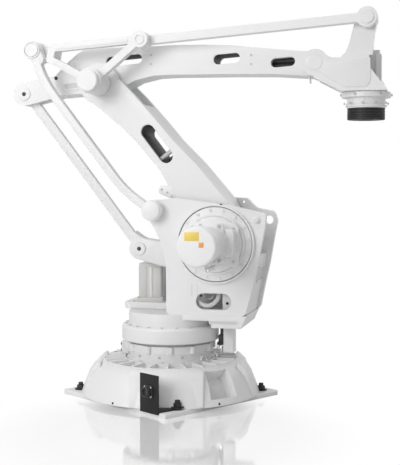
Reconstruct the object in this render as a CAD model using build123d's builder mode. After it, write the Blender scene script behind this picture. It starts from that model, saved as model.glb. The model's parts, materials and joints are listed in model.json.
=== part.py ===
from build123d import *
import math
import os

# Four-axis palletizing arm with parallel rods, standing on the floor.
# The origin is on the floor on the turning axis, X runs forward along the arm, Z is up.
# Lengths are millimetres and angles are degrees.

# The mechanism: pivots lie in the upright plane through the turning axis
shoulder_offset = 260.0
shoulder_height = 742.5
lower_arm_length = 945.0
upper_arm_length = 1025.0
wrist_offset = 220.0
flange_drop = 253.0
rest_lean = 37.68
rest_rise = 4.04
link_back = 292.9
link_back_rise = 152.7
link_front = 231.4
link_front_rise = 188.4
crank_back = 404.9
crank_drop = 36.2

# Running room and seats
swing_gap = 6.0
rod_gap = 5.0
seat_gap = 0.3
open_pivot_gap = 1.0
pivot_gap = 0.3
cut_overrun = 5.0

# Widths across the arm, measured out from its middle plane
fork_gap_half = 44.0
crank_half = 38.0
rod_a_half = 16.5
eye_play = 0.5
lower_arm_half = 120.0
elbow_cheek = 32.0
upper_arm_half = lower_arm_half - elbow_cheek - swing_gap
tilt_half = 126.0
rod_c_thickness = 44.0
rod_c_inner = tilt_half + swing_gap
rod_c_outer = rod_c_inner + rod_c_thickness
link_thickness = 45.0
link_inner = rod_c_outer + rod_gap
link_outer = link_inner + link_thickness
frame_inner = 135.0
frame_wall = 37.0
frame_outer = frame_inner + frame_wall
rim_proud = 18.0
rim_face = frame_outer + rim_proud

# Heights of the base and turntable
plate_height = 22.0
casting_top = 168.0
rib_top = 190.0
drum_top = 262.0
ring_bottom = 276.0
ring_top = 350.0
collar_top = 412.0
base_turn = -33.0


def reach(start, length, angle):
    """Point at a distance and slope from a start point in the arm's plane."""
    slope = math.radians(angle)
    return (start[0] + length * math.cos(slope), start[1] + length * math.sin(slope))


def shifted(start, forward, rise):
    """Point moved forward and up from a start point in the arm's plane."""
    return (start[0] + forward, start[1] + rise)


def placed(start, shares, length, height):
    """Outline points about a start point, from shares of a length and of a height."""
    return [shifted(start, a * length, b * height) for a, b in shares]


def side(y):
    """Upright plane at y, drawn in x and z, whose extrusions run towards -Y."""
    return Plane(origin=(0, y, 0), x_dir=(1, 0, 0), z_dir=(0, -1, 0))


def along(pivot, angle, y):
    """Upright plane at y with its x axis along an arm that starts at a pivot."""
    slope = math.radians(angle)
    return Plane(
        origin=(pivot[0], y, pivot[1]),
        x_dir=(math.cos(slope), 0, math.sin(slope)),
        z_dir=(0, -1, 0),
    )


def level(height, turn=0):
    """Level plane at a height, turned about the upright axis."""
    slope = math.radians(turn)
    return Plane(origin=(0, 0, height), x_dir=(math.cos(slope), math.sin(slope), 0), z_dir=(0, 0, 1))


def disc(pivot, radius):
    """Circle at a pivot in the sketch being drawn."""
    with Locations(pivot):
        Circle(radius)


def round_bar(start, start_radius, end, end_radius):
    """Outline that wraps two discs with straight sides."""
    disc(start, start_radius)
    disc(end, end_radius)
    make_hull()


def shaft(pivot, radius, near, far):
    """Cylinder across the arm between two distances towards the near side."""
    with BuildSketch(side(-far)) as end_face:
        disc(pivot, radius)
    extrude(end_face.sketch, amount=near - far)


def bore(pivot, radius, near, far):
    """Hole across the arm between two distances towards the near side."""
    with BuildSketch(side(-far + cut_overrun)) as end_face:
        disc(pivot, radius)
    extrude(end_face.sketch, amount=near - far + 2 * cut_overrun, mode=Mode.SUBTRACT)


def save(piece, name):
    """Label a finished piece and write it as a STEP file."""
    piece.part.label = name
    export_step(piece.part, "parts/" + name + ".step")


lower_slope = 90 + rest_lean
crank_slope = math.degrees(math.atan2(crank_drop, crank_back))
axis_start = (0, 0)
shoulder = (shoulder_offset, shoulder_height)
elbow = reach(shoulder, lower_arm_length, lower_slope)
wrist = reach(elbow, upper_arm_length, rest_rise)
frame_pivot = shifted(shoulder, -link_back, link_back_rise)
link_rear = shifted(elbow, -link_back, link_back_rise)
link_top = shifted(elbow, link_front, link_front_rise)
tilt_top = shifted(wrist, link_front, link_front_rise)
crank_end = shifted(shoulder, -crank_back, -crank_drop)
upper_rear = shifted(elbow, -crank_back, -crank_drop)
tool_x = wrist[0] + wrist_offset
flange_face = wrist[1] - flange_drop

os.makedirs("parts", exist_ok=True)

# Base plate: a disc with four square ears that carry the floor bolts
plate_side = 740.0
plate_radius = 452.0
anchor_radius = 437.0
anchor_hole = 14.0
plate_edge = 6.0

with BuildPart() as base_plate:
    with BuildSketch(level(0, base_turn)):
        Circle(plate_radius)
        Rectangle(plate_side, plate_side)
    extrude(amount=plate_height)
    chamfer(base_plate.faces().sort_by(Axis.Z)[-1].outer_wire().edges(), length=plate_edge)
    with BuildSketch(level(0, base_turn)):
        with PolarLocations(anchor_radius, 4, start_angle=45):
            Circle(anchor_hole)
    extrude(amount=plate_height + cut_overrun, mode=Mode.SUBTRACT)
save(base_plate, "base_plate")

# Base casting: a drafted round body with a ribbed shoulder, corner buttresses and two pockets
casting_foot_radius = 428.0
casting_waist_radius = 384.0
casting_waist_height = 128.0
casting_shoulder_radius = 352.0
buttress_root = 196.0
buttress_width = 236.0
buttress_foot = 415.0
buttress_top = 376.0
buttress_heel = 44.0
buttress_height = 122.0
pocket_width = 96.0
pocket_height = 78.0
pocket_depth = 46.0
pocket_bottom = 48.0
rib_count = 24
rib_width = 13.0
rib_inner = 216.0
rib_outer = 352.0
rib_draft = 8
casting_edge = 8.0

with BuildPart() as base_casting:
    with BuildSketch(Plane.XZ):
        with BuildLine():
            Polyline(
                (0, plate_height),
                (casting_foot_radius, plate_height),
                (casting_waist_radius, casting_waist_height),
                (casting_shoulder_radius, casting_top),
                (0, casting_top),
                close=True,
            )
        make_face()
    revolve(axis=Axis.Z)
    for corner in range(4):
        turn = base_turn + 45 + 90 * corner
        slope = math.radians(turn)
        corner_plane = Plane(
            origin=(0, 0, 0),
            x_dir=(math.cos(slope), math.sin(slope), 0),
            z_dir=(math.sin(slope), -math.cos(slope), 0),
        )
        with BuildSketch(corner_plane.offset(-buttress_width / 2)):
            with BuildLine():
                Polyline(
                    (buttress_root, plate_height),
                    (buttress_foot, plate_height),
                    (buttress_foot, buttress_heel),
                    (buttress_top, buttress_height),
                    (casting_shoulder_radius, casting_top - casting_edge),
                    (buttress_root, casting_top - casting_edge),
                    close=True,
                )
            make_face()
        extrude(amount=buttress_width)
    with BuildSketch(level(casting_top - cut_overrun, base_turn)):
        with PolarLocations((rib_inner + rib_outer) / 2, rib_count):
            Rectangle(rib_outer - rib_inner, rib_width)
    extrude(amount=rib_top - casting_top + cut_overrun, taper=rib_draft)
    for face_side in (0, 2):
        turn = base_turn + 90 * face_side
        slope = math.radians(turn)
        face_plane = Plane(
            origin=(
                casting_foot_radius * math.cos(slope),
                casting_foot_radius * math.sin(slope),
                pocket_bottom + pocket_height / 2,
            ),
            x_dir=(-math.sin(slope), math.cos(slope), 0),
            z_dir=(-math.cos(slope), -math.sin(slope), 0),
        )
        with BuildSketch(face_plane):
            RectangleRounded(pocket_width, pocket_height, pocket_height / 8)
        extrude(amount=pocket_depth + casting_foot_radius - casting_waist_radius, mode=Mode.SUBTRACT)
save(base_casting, "base_casting")

# Bearing drum: the fixed lower race housing with bolt bosses round it
drum_radius = 204.0
drum_boss_count = 12
drum_boss_start = 15.0
drum_boss_radius = 13.0
drum_boss_height = 34.0
drum_collar_height = 20.0
drum_collar_proud = 9.0

with BuildPart() as bearing_drum:
    with BuildSketch(level(casting_top)):
        Circle(drum_radius + drum_collar_proud)
    extrude(amount=drum_collar_height)
    with BuildSketch(level(casting_top)):
        Circle(drum_radius)
    extrude(amount=drum_top - casting_top)
    with BuildSketch(level(drum_top - drum_boss_height)):
        with PolarLocations(drum_radius, drum_boss_count, start_angle=drum_boss_start):
            Circle(drum_boss_radius)
    extrude(amount=drum_boss_height)
    with BuildSketch(level(drum_top)):
        Circle(drum_radius - drum_collar_height)
    extrude(amount=ring_bottom - drum_top - seat_gap)
save(bearing_drum, "bearing_drum")

# Turning stop: a block bolted to the back of the drum
stop_reach = 40.0
stop_width = 34.0
stop_height = 64.0
stop_drop = 8.0

with BuildPart() as turning_stop:
    with BuildSketch(level(drum_top - stop_height - stop_drop)):
        with Locations((-(drum_radius + stop_reach / 2 + seat_gap), 0)):
            RectangleRounded(stop_reach, stop_width, stop_width / 8)
        Circle(drum_radius + seat_gap, mode=Mode.SUBTRACT)
    extrude(amount=stop_height)
save(turning_stop, "turning_stop")

# Connector bracket: a bent plate on one ear of the base plate
bracket_width = 104.0
bracket_height = 172.0
bracket_foot = 150.0
bracket_foot_short = 26.0
bracket_thickness = 8.0
bracket_side = 263.0
bracket_lift = 14.0
socket_rise = 96.0
socket_radius = 22.0
socket_plate = 56.0
socket_plate_thickness = 6.0
socket_length = 26.0
socket_bore = 16.0

bracket_out = plate_side / 2 + seat_gap
bracket_slope = math.radians(base_turn)
bracket_plane = Plane(
    origin=(
        (bracket_side + bracket_width) * math.cos(bracket_slope),
        (bracket_side + bracket_width) * math.sin(bracket_slope),
        0,
    ),
    x_dir=(-math.sin(bracket_slope), math.cos(bracket_slope), 0),
    z_dir=(math.cos(bracket_slope), math.sin(bracket_slope), 0),
)
with BuildPart() as connector_bracket:
    with BuildSketch(bracket_plane.offset(-bracket_width)):
        with BuildLine():
            Polyline(
                (-bracket_out - bracket_thickness, bracket_lift),
                (-bracket_out, bracket_lift),
                (-bracket_out, plate_height),
                (-bracket_out + bracket_foot, plate_height),
                (-bracket_out + bracket_foot, plate_height + bracket_thickness),
                (-bracket_out, plate_height + bracket_thickness),
                (-bracket_out, bracket_lift + bracket_height),
                (-bracket_out - bracket_thickness, bracket_lift + bracket_height),
                close=True,
            )
        make_face()
    extrude(amount=bracket_width)
    with BuildSketch(level(plate_height - cut_overrun, base_turn)):
        with BuildLine():
            Polyline(
                (bracket_side - cut_overrun, -bracket_out + bracket_foot_short - cut_overrun),
                (bracket_side + bracket_width, -bracket_out + bracket_foot_short + bracket_width),
                (bracket_side + bracket_width, 0),
                (bracket_side - cut_overrun, 0),
                close=True,
            )
        make_face()
    extrude(amount=bracket_thickness + 2 * cut_overrun, mode=Mode.SUBTRACT)
save(connector_bracket, "connector_bracket")

socket_plane = Plane(
    origin=(
        (bracket_side + bracket_width / 2) * math.cos(bracket_slope)
        + (bracket_out + bracket_thickness) * math.sin(bracket_slope),
        (bracket_side + bracket_width / 2) * math.sin(bracket_slope)
        - (bracket_out + bracket_thickness) * math.cos(bracket_slope),
        bracket_lift + socket_rise,
    ),
    x_dir=(math.cos(bracket_slope), math.sin(bracket_slope), 0),
    z_dir=(math.sin(bracket_slope), -math.cos(bracket_slope), 0),
)
with BuildPart() as connector_socket:
    with BuildSketch(socket_plane):
        RectangleRounded(socket_plate, socket_plate, socket_plate / 8)
    extrude(amount=socket_plate_thickness)
    with BuildSketch(socket_plane):
        Circle(socket_radius)
    extrude(amount=socket_length)
    with BuildSketch(socket_plane.offset(socket_plate_thickness)):
        Circle(socket_bore)
    extrude(amount=socket_length, mode=Mode.SUBTRACT)
save(connector_socket, "connector_socket")

# Turntable ring: the driven race with a narrower collar above it
ring_radius = 233.0
ring_round = 14.0
collar_radius = 200.0

with BuildPart() as turntable_ring:
    with BuildSketch(level(ring_bottom)):
        Circle(ring_radius)
    extrude(amount=ring_top - ring_bottom)
    fillet(turntable_ring.edges().sort_by(Axis.Z)[-1], radius=ring_round)
    with BuildSketch(level(ring_top)):
        Circle(collar_radius)
    extrude(amount=collar_top - ring_top)
save(turntable_ring, "turntable_ring")

# Side walls of the turning frame: points are shares of the frame's reach and height
frame_reach = 232.0
frame_height = 210.0
frame_drop = shoulder_height - collar_top
wall_round = 22.0
near_top_shares = [(-0.80, 0.97), (-0.10, 0.97), (0.35, 0.83), (1.0, 0.69), (0.995, 0.40)]
near_low_shares = [(0.87, -0.16), (0.79, -0.43), (0.68, -0.76), (0.59, -1.0), (-0.80, -1.0)]
far_top_shares = [
    (-0.80, 0.97), (-0.08, 1.0), (0.38, 0.98), (0.50, 0.84), (0.60, 0.75),
    (0.95, 0.68), (1.02, 0.48), (0.97, 0.19),
]
far_low_shares = [(0.86, -0.33), (0.75, -0.67), (0.66, -1.0), (-0.80, -1.0)]
gear_hub_radius = 92.0
rim_radius = 174.0
rim_width = 9.0
rim_draft = 10
window_length = 164.0
window_height = 64.0
window_rise = 271.5
lug_hole = 8.0
lug_hole_forward = 69.0
lug_hole_rise = 187.5
lift_hole = 21.0
lift_hole_forward = 196.0
lift_hole_rise = 101.5


def wall_outline(top_shares, low_shares):
    """Closed outline of a side wall about the shoulder pivot."""
    upper = placed(axis_start, top_shares, frame_reach, frame_height)
    lower = placed(axis_start, low_shares, frame_reach, frame_drop)
    with BuildLine(mode=Mode.PRIVATE) as outline:
        FilletPolyline(*(upper + lower), radius=wall_round, close=True)
    return outline.line


with BuildPart() as near_wall:
    with BuildSketch(along(shoulder, 0, -frame_inner)):
        add(wall_outline(near_top_shares, near_low_shares))
        make_face()
    extrude(amount=frame_wall)
    with BuildSketch(side(-frame_outer)):
        disc(shoulder, rim_radius + rim_width)
    extrude(amount=rim_proud, taper=rim_draft)
    bore(shoulder, rim_radius, rim_face, frame_outer - frame_wall / 2 + cut_overrun)
    bore(shoulder, gear_hub_radius + seat_gap, frame_outer, frame_inner)
    with BuildSketch(side(-frame_inner + cut_overrun)):
        with Locations(shifted(shoulder, 0, -window_rise)):
            SlotOverall(window_length, window_height)
    extrude(amount=frame_wall + 2 * cut_overrun, mode=Mode.SUBTRACT)
save(near_wall, "near_wall")

with BuildPart() as far_wall:
    with BuildSketch(along(shoulder, 0, frame_outer)):
        add(wall_outline(far_top_shares, far_low_shares))
        make_face()
    extrude(amount=frame_wall)
    with BuildSketch(side(rim_face)):
        disc(shoulder, rim_radius + rim_width)
    extrude(amount=rim_proud)
    bore(shoulder, rim_radius, -(frame_outer - frame_wall / 2) - cut_overrun, -rim_face)
    bore(shoulder, gear_hub_radius + seat_gap, -frame_inner, -frame_outer)
    bore(shifted(shoulder, lug_hole_forward, lug_hole_rise), lug_hole, -frame_inner, -frame_outer)
    bore(shifted(shoulder, lift_hole_forward, lift_hole_rise), lift_hole, -frame_inner, -frame_outer)
save(far_wall, "far_wall")

# Skirt: the floor of the frame, which overhangs the collar in front
skirt_drop = 58.0
skirt_back = 212.0
skirt_front = 404.0
skirt_nose = 30.0
skirt_thickness = 26.0

with BuildPart() as frame_skirt:
    with BuildSketch(side(frame_outer)):
        with BuildLine():
            Polyline(
                (shoulder_offset - skirt_back, collar_top),
                (skirt_front - skirt_nose, collar_top),
                (skirt_front, collar_top),
                (skirt_front, collar_top - skirt_drop),
                (ring_radius + rod_gap, collar_top - skirt_drop),
                (ring_radius + rod_gap, collar_top - skirt_thickness),
                (shoulder_offset - skirt_back, collar_top - skirt_thickness),
                close=True,
            )
        make_face()
    extrude(amount=2 * frame_outer)
    with BuildSketch(level(collar_top - skirt_drop)):
        Circle(collar_radius + seat_gap)
    extrude(amount=skirt_drop, mode=Mode.SUBTRACT)
save(frame_skirt, "frame_skirt")

# Front web: joins the two side walls along their front edges, with a shallow pocket
web_thickness = 30.0
web_top_drop = 58.0
web_low_share = 0.59
web_high_share = 0.815

web_low = shifted(shoulder, web_low_share * frame_reach, -frame_drop)
web_high = shifted(shoulder, web_high_share * frame_reach, -web_top_drop)
with BuildPart() as front_web:
    with BuildSketch(side(frame_inner - seat_gap)):
        with BuildLine():
            Polyline(
                web_low,
                shifted(web_low, -web_thickness, 0),
                shifted(web_high, -web_thickness, 0),
                web_high,
                close=True,
            )
        make_face()
    extrude(amount=2 * (frame_inner - seat_gap))
save(front_web, "front_web")

# Pivot bracket: a set-back web at the rear that carries the lower rod's pin on a long boss
boss_radius = 48.0
bracket_web_outer = 75.0
bracket_web_inner = 49.0
return_forward = 100.0
return_wall = 25.0
return_rise = 20.0
boss_side_shares = [(0.6, 0.8), (-0.9, -0.45)]
bracket_waist = 10.0
bracket_waist_drop = 100.0
bracket_back = 31.0

with BuildPart() as pivot_bracket:
    with BuildSketch(side(-bracket_web_inner)):
        disc(frame_pivot, boss_radius)
        with BuildLine():
            Polyline(
                *placed(frame_pivot, boss_side_shares, boss_radius, boss_radius),
                (bracket_waist, shoulder_height),
                (bracket_back, shoulder_height - bracket_waist_drop),
                (bracket_back, collar_top),
                (return_forward, collar_top),
                (return_forward, shoulder_height + return_rise),
                close=True,
            )
        make_face()
    extrude(amount=bracket_web_outer - bracket_web_inner)
    with BuildSketch(level(collar_top)):
        with Locations((return_forward - return_wall / 2, -(frame_inner - seat_gap + bracket_web_inner) / 2)):
            Rectangle(return_wall, frame_inner - seat_gap - bracket_web_inner)
    extrude(amount=shoulder_height + return_rise - collar_top)
    shaft(frame_pivot, boss_radius, link_inner - eye_play, bracket_web_inner)
save(pivot_bracket, "pivot_bracket")

# Pins of the rods: a plain shank with a flat head on the near side
pin_radius = 18.0
pin_head = 30.0
pin_head_thickness = 6.0

with BuildPart() as lower_rod_pin:
    shaft(frame_pivot, pin_radius, link_outer + eye_play, link_inner)
    shaft(frame_pivot, pin_head, link_outer + eye_play + pin_head_thickness, link_outer + eye_play)
save(lower_rod_pin, "lower_rod_pin")

# Gearbox covers and motors: the near set swings the upper arm, the far set the lower arm
gear_cover_radius = 150.0
gear_cover_proud = 24.0
motor_adapter_size = 176.0
motor_adapter_height = 122.0
motor_adapter_length = 70.0
motor_radius = 74.0
motor_length = 175.0
motor_cap_radius = 93.0
motor_cap_length = 76.0
motor_cap_round = 10.0
crank_shaft_radius = 38.0

cover_seat = frame_outer - frame_wall / 2
cover_face = rim_face + gear_cover_proud
adapter_face = cover_face + motor_adapter_length
motor_face = adapter_face + motor_length


def drive_set(toward):
    """Cover, adapter, motor and cap on one side; toward is 1 for near and -1 for far."""
    with BuildPart() as cover:
        with BuildSketch(along(shoulder, 0, -toward * cover_seat)):
            Circle(gear_cover_radius)
        extrude(amount=toward * (cover_face - cover_seat))
    with BuildPart() as adapter:
        with BuildSketch(along(shoulder, 0, -toward * cover_face)):
            RectangleRounded(motor_adapter_size, motor_adapter_height, motor_adapter_height / 6)
        extrude(amount=toward * motor_adapter_length)
    with BuildPart() as motor:
        with BuildSketch(along(shoulder, 0, -toward * adapter_face)):
            Circle(motor_radius)
        extrude(amount=toward * motor_length)
    with BuildPart() as cap:
        with BuildSketch(along(shoulder, 0, -toward * motor_face)):
            Circle(motor_cap_radius)
        extrude(amount=toward * motor_cap_length)
        fillet(cap.edges().filter_by(GeomType.CIRCLE), radius=motor_cap_round)
    return cover, adapter, motor, cap


for set_name, toward in (("near", 1), ("far", -1)):
    cover, adapter, motor, cap = drive_set(toward)
    save(cover, set_name + "_gear_cover")
    save(adapter, set_name + "_motor_adapter")
    save(motor, set_name + "_motor")
    save(cap, set_name + "_motor_cap")

# Far gear hub: the output flange that the lower arm's far cheek is bolted against
with BuildPart() as far_gear_hub:
    shaft(shoulder, gear_hub_radius, -(lower_arm_half + seat_gap), -(frame_outer - frame_wall / 2))
save(far_gear_hub, "far_gear_hub")

# Near gear hub: the bearing ring round the crank's shaft
with BuildPart() as near_gear_hub:
    shaft(shoulder, gear_hub_radius, frame_outer - frame_wall / 2, lower_arm_half + seat_gap)
    bore(shoulder, crank_shaft_radius + pivot_gap, frame_outer, lower_arm_half)
save(near_gear_hub, "near_gear_hub")

# Rear platform and the upright motor that turns the frame
platform_back = 235.0
platform_front = 30.0
platform_thickness = 32.0
platform_half = 105.0
platform_side = 95.0
turn_motor_radius = 68.0
turn_motor_height = 190.0
turn_motor_back = 118.0
turn_motor_side = 118.0
turn_motor_flange = 78.0
turn_motor_flange_thickness = 14.0

platform_top = collar_top + platform_thickness
with BuildPart() as rear_platform:
    with BuildSketch(level(collar_top)):
        with Locations((-(platform_back - platform_front) / 2, platform_side)):
            RectangleRounded(platform_back + platform_front, platform_half * 2, platform_thickness)
    extrude(amount=platform_thickness)
save(rear_platform, "rear_platform")

with BuildPart() as turning_motor:
    with BuildSketch(level(platform_top)):
        with Locations((-turn_motor_back, turn_motor_side)):
            Circle(turn_motor_flange)
    extrude(amount=turn_motor_flange_thickness)
    with BuildSketch(level(platform_top)):
        with Locations((-turn_motor_back, turn_motor_side)):
            Circle(turn_motor_radius)
    extrude(amount=turn_motor_height)
save(turning_motor, "turning_motor")

# Cable duct: a square post under the front overhang
duct_width = 50.0
duct_depth = 64.0
duct_front = 316.0
duct_drop = 138.0

with BuildPart() as cable_duct:
    with BuildSketch(level(collar_top - skirt_drop - duct_drop)):
        with Locations((duct_front - duct_width / 2, 0)):
            RectangleRounded(duct_width, duct_depth, duct_width / 8)
    extrude(amount=duct_drop)
save(cable_duct, "cable_duct")

# Crank: hub between the lower arm's cheeks, forked at its rear end round the parallel rod
crank_hub_radius = 112.0
crank_root_radius = 75.0
crank_eye_radius = 52.0
crank_fork_gap = rod_a_half + eye_play
crank_fork_reach = 230.0
crank_pin_radius = 16.0
crank_pin_head = 31.0
crank_head_thickness = 5.0

with BuildPart() as crank:
    with BuildSketch(side(crank_half)):
        round_bar(shoulder, crank_root_radius, crank_end, crank_eye_radius)
        disc(shoulder, crank_hub_radius)
    extrude(amount=2 * crank_half)
    with BuildSketch(along(crank_end, crank_slope, crank_fork_gap)):
        with Locations(((crank_fork_reach - crank_eye_radius - cut_overrun) / 2, 0)):
            Rectangle(crank_fork_reach + crank_eye_radius + cut_overrun, 2 * crank_root_radius)
    extrude(amount=2 * crank_fork_gap, mode=Mode.SUBTRACT)
    bore(crank_end, crank_pin_radius + pivot_gap, crank_half, -crank_half)
    shaft(shoulder, crank_shaft_radius, frame_outer - frame_wall / 2 - seat_gap, crank_half)
save(crank, "crank")

with BuildPart() as crank_pin:
    shaft(crank_end, crank_pin_radius, crank_half + seat_gap, -(crank_half + seat_gap))
    shaft(crank_end, crank_pin_head, crank_half + seat_gap + crank_head_thickness, crank_half + seat_gap)
    shaft(crank_end, crank_pin_head, -(crank_half + seat_gap), -(crank_half + seat_gap + crank_head_thickness))
save(crank_pin, "crank_pin")

# Lower arm: forked at both ends, hollowed by a long slot
lower_arm_shares = [
    (0.0, -1.0), (0.146, -1.18), (0.271, -1.13), (0.382, -1.09), (0.547, -0.93), (0.672, -0.89),
    (0.842, -0.80), (0.95, -0.70), (0.95, 0.62), (0.887, 0.50), (0.747, 0.27), (0.66, 0.18),
    (0.485, 0.10), (0.407, 0.15), (0.212, 0.62), (0.0, 0.96),
]
lower_hub_radius = 130.0
elbow_radius = 96.0
fork_reach = 285.0
elbow_reach = 235.0
lower_slot_start = 440.0
lower_slot_end = 650.0
lower_slot_width = 66.0
lower_slot_forward = 50.0
elbow_pin_radius = 30.0
elbow_pin_depth = 70.0

with BuildPart() as lower_arm:
    with BuildSketch(along(shoulder, lower_slope, lower_arm_half)):
        with BuildLine():
            Polyline(
                *placed(axis_start, lower_arm_shares, lower_arm_length, lower_hub_radius),
                close=True,
            )
        make_face()
        Circle(lower_hub_radius)
        disc((lower_arm_length, 0), elbow_radius)
    extrude(amount=2 * lower_arm_half)
    with BuildSketch(side(fork_gap_half)):
        disc(shoulder, fork_reach)
    extrude(amount=2 * fork_gap_half, mode=Mode.SUBTRACT)
    with BuildSketch(side(upper_arm_half + swing_gap)):
        disc(elbow, elbow_reach)
    extrude(amount=2 * (upper_arm_half + swing_gap), mode=Mode.SUBTRACT)
    with BuildSketch(along(shoulder, lower_slope, lower_arm_half + cut_overrun)):
        with Locations(((lower_slot_start + lower_slot_end) / 2, -lower_slot_forward)):
            SlotOverall(lower_slot_end - lower_slot_start, lower_slot_width)
    extrude(amount=2 * (lower_arm_half + cut_overrun), mode=Mode.SUBTRACT)
    bore(shoulder, crank_shaft_radius + pivot_gap, lower_arm_half, 0)
    bore(elbow, elbow_pin_radius + seat_gap, lower_arm_half, -lower_arm_half)
save(lower_arm, "lower_arm")

# Parallel rod between the crank and the upper arm's tail
rod_a_width = 45.0
rod_a_eye = 40.0

with BuildPart() as parallel_rod:
    with BuildSketch(side(rod_a_half)):
        disc(crank_end, rod_a_eye)
        disc(upper_rear, rod_a_eye)
    extrude(amount=2 * rod_a_half)
    with BuildSketch(along(crank_end, lower_slope, rod_a_half)):
        with Locations((lower_arm_length / 2, 0)):
            Rectangle(lower_arm_length, rod_a_width)
    extrude(amount=2 * rod_a_half)
    bore(crank_end, crank_pin_radius + pivot_gap, rod_a_half, -rod_a_half)
    bore(upper_rear, crank_pin_radius + open_pivot_gap, rod_a_half, -rod_a_half)
save(parallel_rod, "parallel_rod")

# Lower link rod: a flat bar bowed away from the arm
bar_width = 37.0
lower_eye = 47.0
rear_eye = 42.0
bow_shares = [(0.0, 0.0), (0.159, 0.052), (0.836, 0.052), (1.0, 0.0)]
bow_round_share = 0.127

with BuildPart() as lower_link_rod:
    with BuildSketch(along(frame_pivot, lower_slope, -link_inner)) as rod_face:
        with BuildLine() as bow:
            FilletPolyline(
                *placed(axis_start, bow_shares, lower_arm_length, lower_arm_length),
                radius=bow_round_share * lower_arm_length,
            )
        trace(bow.line, line_width=bar_width)
        disc(axis_start, lower_eye)
        disc((lower_arm_length, 0), rear_eye)
    extrude(amount=link_thickness)
    bore(frame_pivot, pin_radius + pivot_gap, link_outer, link_inner)
    bore(link_rear, pin_radius + open_pivot_gap, link_outer, link_inner)
save(lower_link_rod, "lower_link_rod")

# Link: three bars round a triangle, with a long hub on the elbow and a set-back rear eye
link_hub_radius = 58.0
link_hub_outer = 258.0
link_eye = 38.0
link_rear_eye = 40.0
link_bar = 34.0
rear_step_reach = 100.0

top_bar_slope = math.degrees(math.atan2(link_front_rise - link_back_rise, link_front + link_back))
rear_bar_slope = math.degrees(math.atan2(-link_back_rise, link_back))
rear_step = reach(link_rear, rear_step_reach, top_bar_slope)
low_step = reach(link_rear, rear_step_reach, rear_bar_slope)
with BuildPart() as link:
    with BuildSketch(side(-link_inner)):
        round_bar(elbow, link_bar / 2, link_top, link_bar / 2)
    extrude(amount=link_thickness)
    with BuildSketch(side(-link_inner)):
        round_bar(elbow, link_bar / 2, low_step, link_bar / 2)
    extrude(amount=link_thickness)
    with BuildSketch(side(-link_inner)):
        round_bar(rear_step, link_bar / 2, link_top, link_bar / 2)
    extrude(amount=link_thickness)
    with BuildSketch(side(-rod_c_inner)):
        disc(link_rear, link_rear_eye)
        disc(rear_step, link_bar / 2)
        disc(low_step, link_bar / 2)
        make_hull()
    extrude(amount=rod_c_thickness)
    with BuildSketch(side(-rod_c_inner)):
        round_bar(rear_step, link_bar / 2, low_step, link_bar / 2)
    extrude(amount=link_outer - rod_c_inner)
    shaft(link_top, link_eye, link_outer, link_inner)
    shaft(elbow, link_hub_radius, link_hub_outer, lower_arm_half + swing_gap)
    shaft(link_rear, pin_radius, link_outer + eye_play, rod_c_outer)
    shaft(link_rear, pin_head, link_outer + eye_play + pin_head_thickness, link_outer + eye_play)
    shaft(link_top, pin_radius, link_inner, rod_c_inner - seat_gap)
    bore(elbow, elbow_pin_radius + pivot_gap, lower_arm_half + swing_gap + elbow_pin_depth, lower_arm_half)
save(link, "link")

cap_radius = 51.0
cap_outer = 293.0
cap_round = 8.0

with BuildPart() as elbow_cap:
    shaft(elbow, cap_radius, cap_outer, link_hub_outer)
    fillet(elbow_cap.edges().sort_by(Axis.Y)[0], radius=cap_round)
save(elbow_cap, "elbow_cap")

with BuildPart() as elbow_pin:
    shaft(elbow, elbow_pin_radius, lower_arm_half + swing_gap + elbow_pin_depth, -lower_arm_half)
save(elbow_pin, "elbow_pin")

# Upper arm: a tapering beam with three openings and a forked tail
arm_depth = 172.0
wrist_eye = 57.0
wrist_pin_radius = 26.0
wrist_pin_head = 34.0
wrist_pin_head_thickness = 5.0
upper_hub_radius = 84.0
upper_arm_shares = [
    (0.985, 0.32), (0.82, 0.485), (0.628, 0.70), (0.48, 0.808), (0.34, 0.875), (0.29, 0.885),
    (0.015, 0.995), (-0.07, 1.0), (-0.106, 0.905), (-0.166, 0.656), (-0.227, 0.338),
    (-0.227, -0.20), (-0.114, -0.20), (0.0, -0.30), (0.08, -0.20), (0.16, 0.02), (0.25, 0.10),
    (0.33, 0.08), (0.61, -0.055), (0.812, -0.17), (0.982, -0.32),
]
tail_half = 55.0
tail_eye = 56.0
tail_root_radius = 50.0
tail_root_share = -0.22
tail_gap_reach = 165.0
arm_slot_shares = [(0.118, 0.60, 0.174, 0.256), (0.60, 0.36, 0.123, 0.267), (0.853, 0.12, 0.109, 0.244)]

with BuildPart() as upper_arm:
    with BuildSketch(along(elbow, rest_rise, upper_arm_half)):
        with BuildLine():
            Polyline(*placed(axis_start, upper_arm_shares, upper_arm_length, arm_depth), close=True)
        make_face()
        Circle(upper_hub_radius)
        disc((upper_arm_length, 0), wrist_eye)
    extrude(amount=2 * upper_arm_half)
    with BuildSketch(side(tail_half)):
        disc(upper_rear, tail_eye)
        disc(shifted(elbow, tail_root_share * upper_arm_length, 0), tail_root_radius)
        make_hull()
    extrude(amount=2 * tail_half)
    with BuildSketch(side(crank_fork_gap)):
        with Locations(shifted(upper_rear, (tail_gap_reach - tail_eye - cut_overrun) / 2, 0)):
            Rectangle(tail_gap_reach + tail_eye + cut_overrun, 2 * arm_depth)
    extrude(amount=2 * crank_fork_gap, mode=Mode.SUBTRACT)
    for place_share, rise_share, length_share, width_share in arm_slot_shares:
        with BuildSketch(along(elbow, rest_rise, upper_arm_half + cut_overrun)):
            with Locations((place_share * upper_arm_length, rise_share * arm_depth)):
                SlotOverall(length_share * upper_arm_length, width_share * arm_depth)
        extrude(amount=2 * (upper_arm_half + cut_overrun), mode=Mode.SUBTRACT)
    bore(elbow, elbow_pin_radius + pivot_gap, upper_arm_half, -upper_arm_half)
    bore(wrist, wrist_pin_radius + pivot_gap, upper_arm_half, -upper_arm_half)
    bore(upper_rear, crank_pin_radius + seat_gap, tail_half, -tail_half)
save(upper_arm, "upper_arm")

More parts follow.
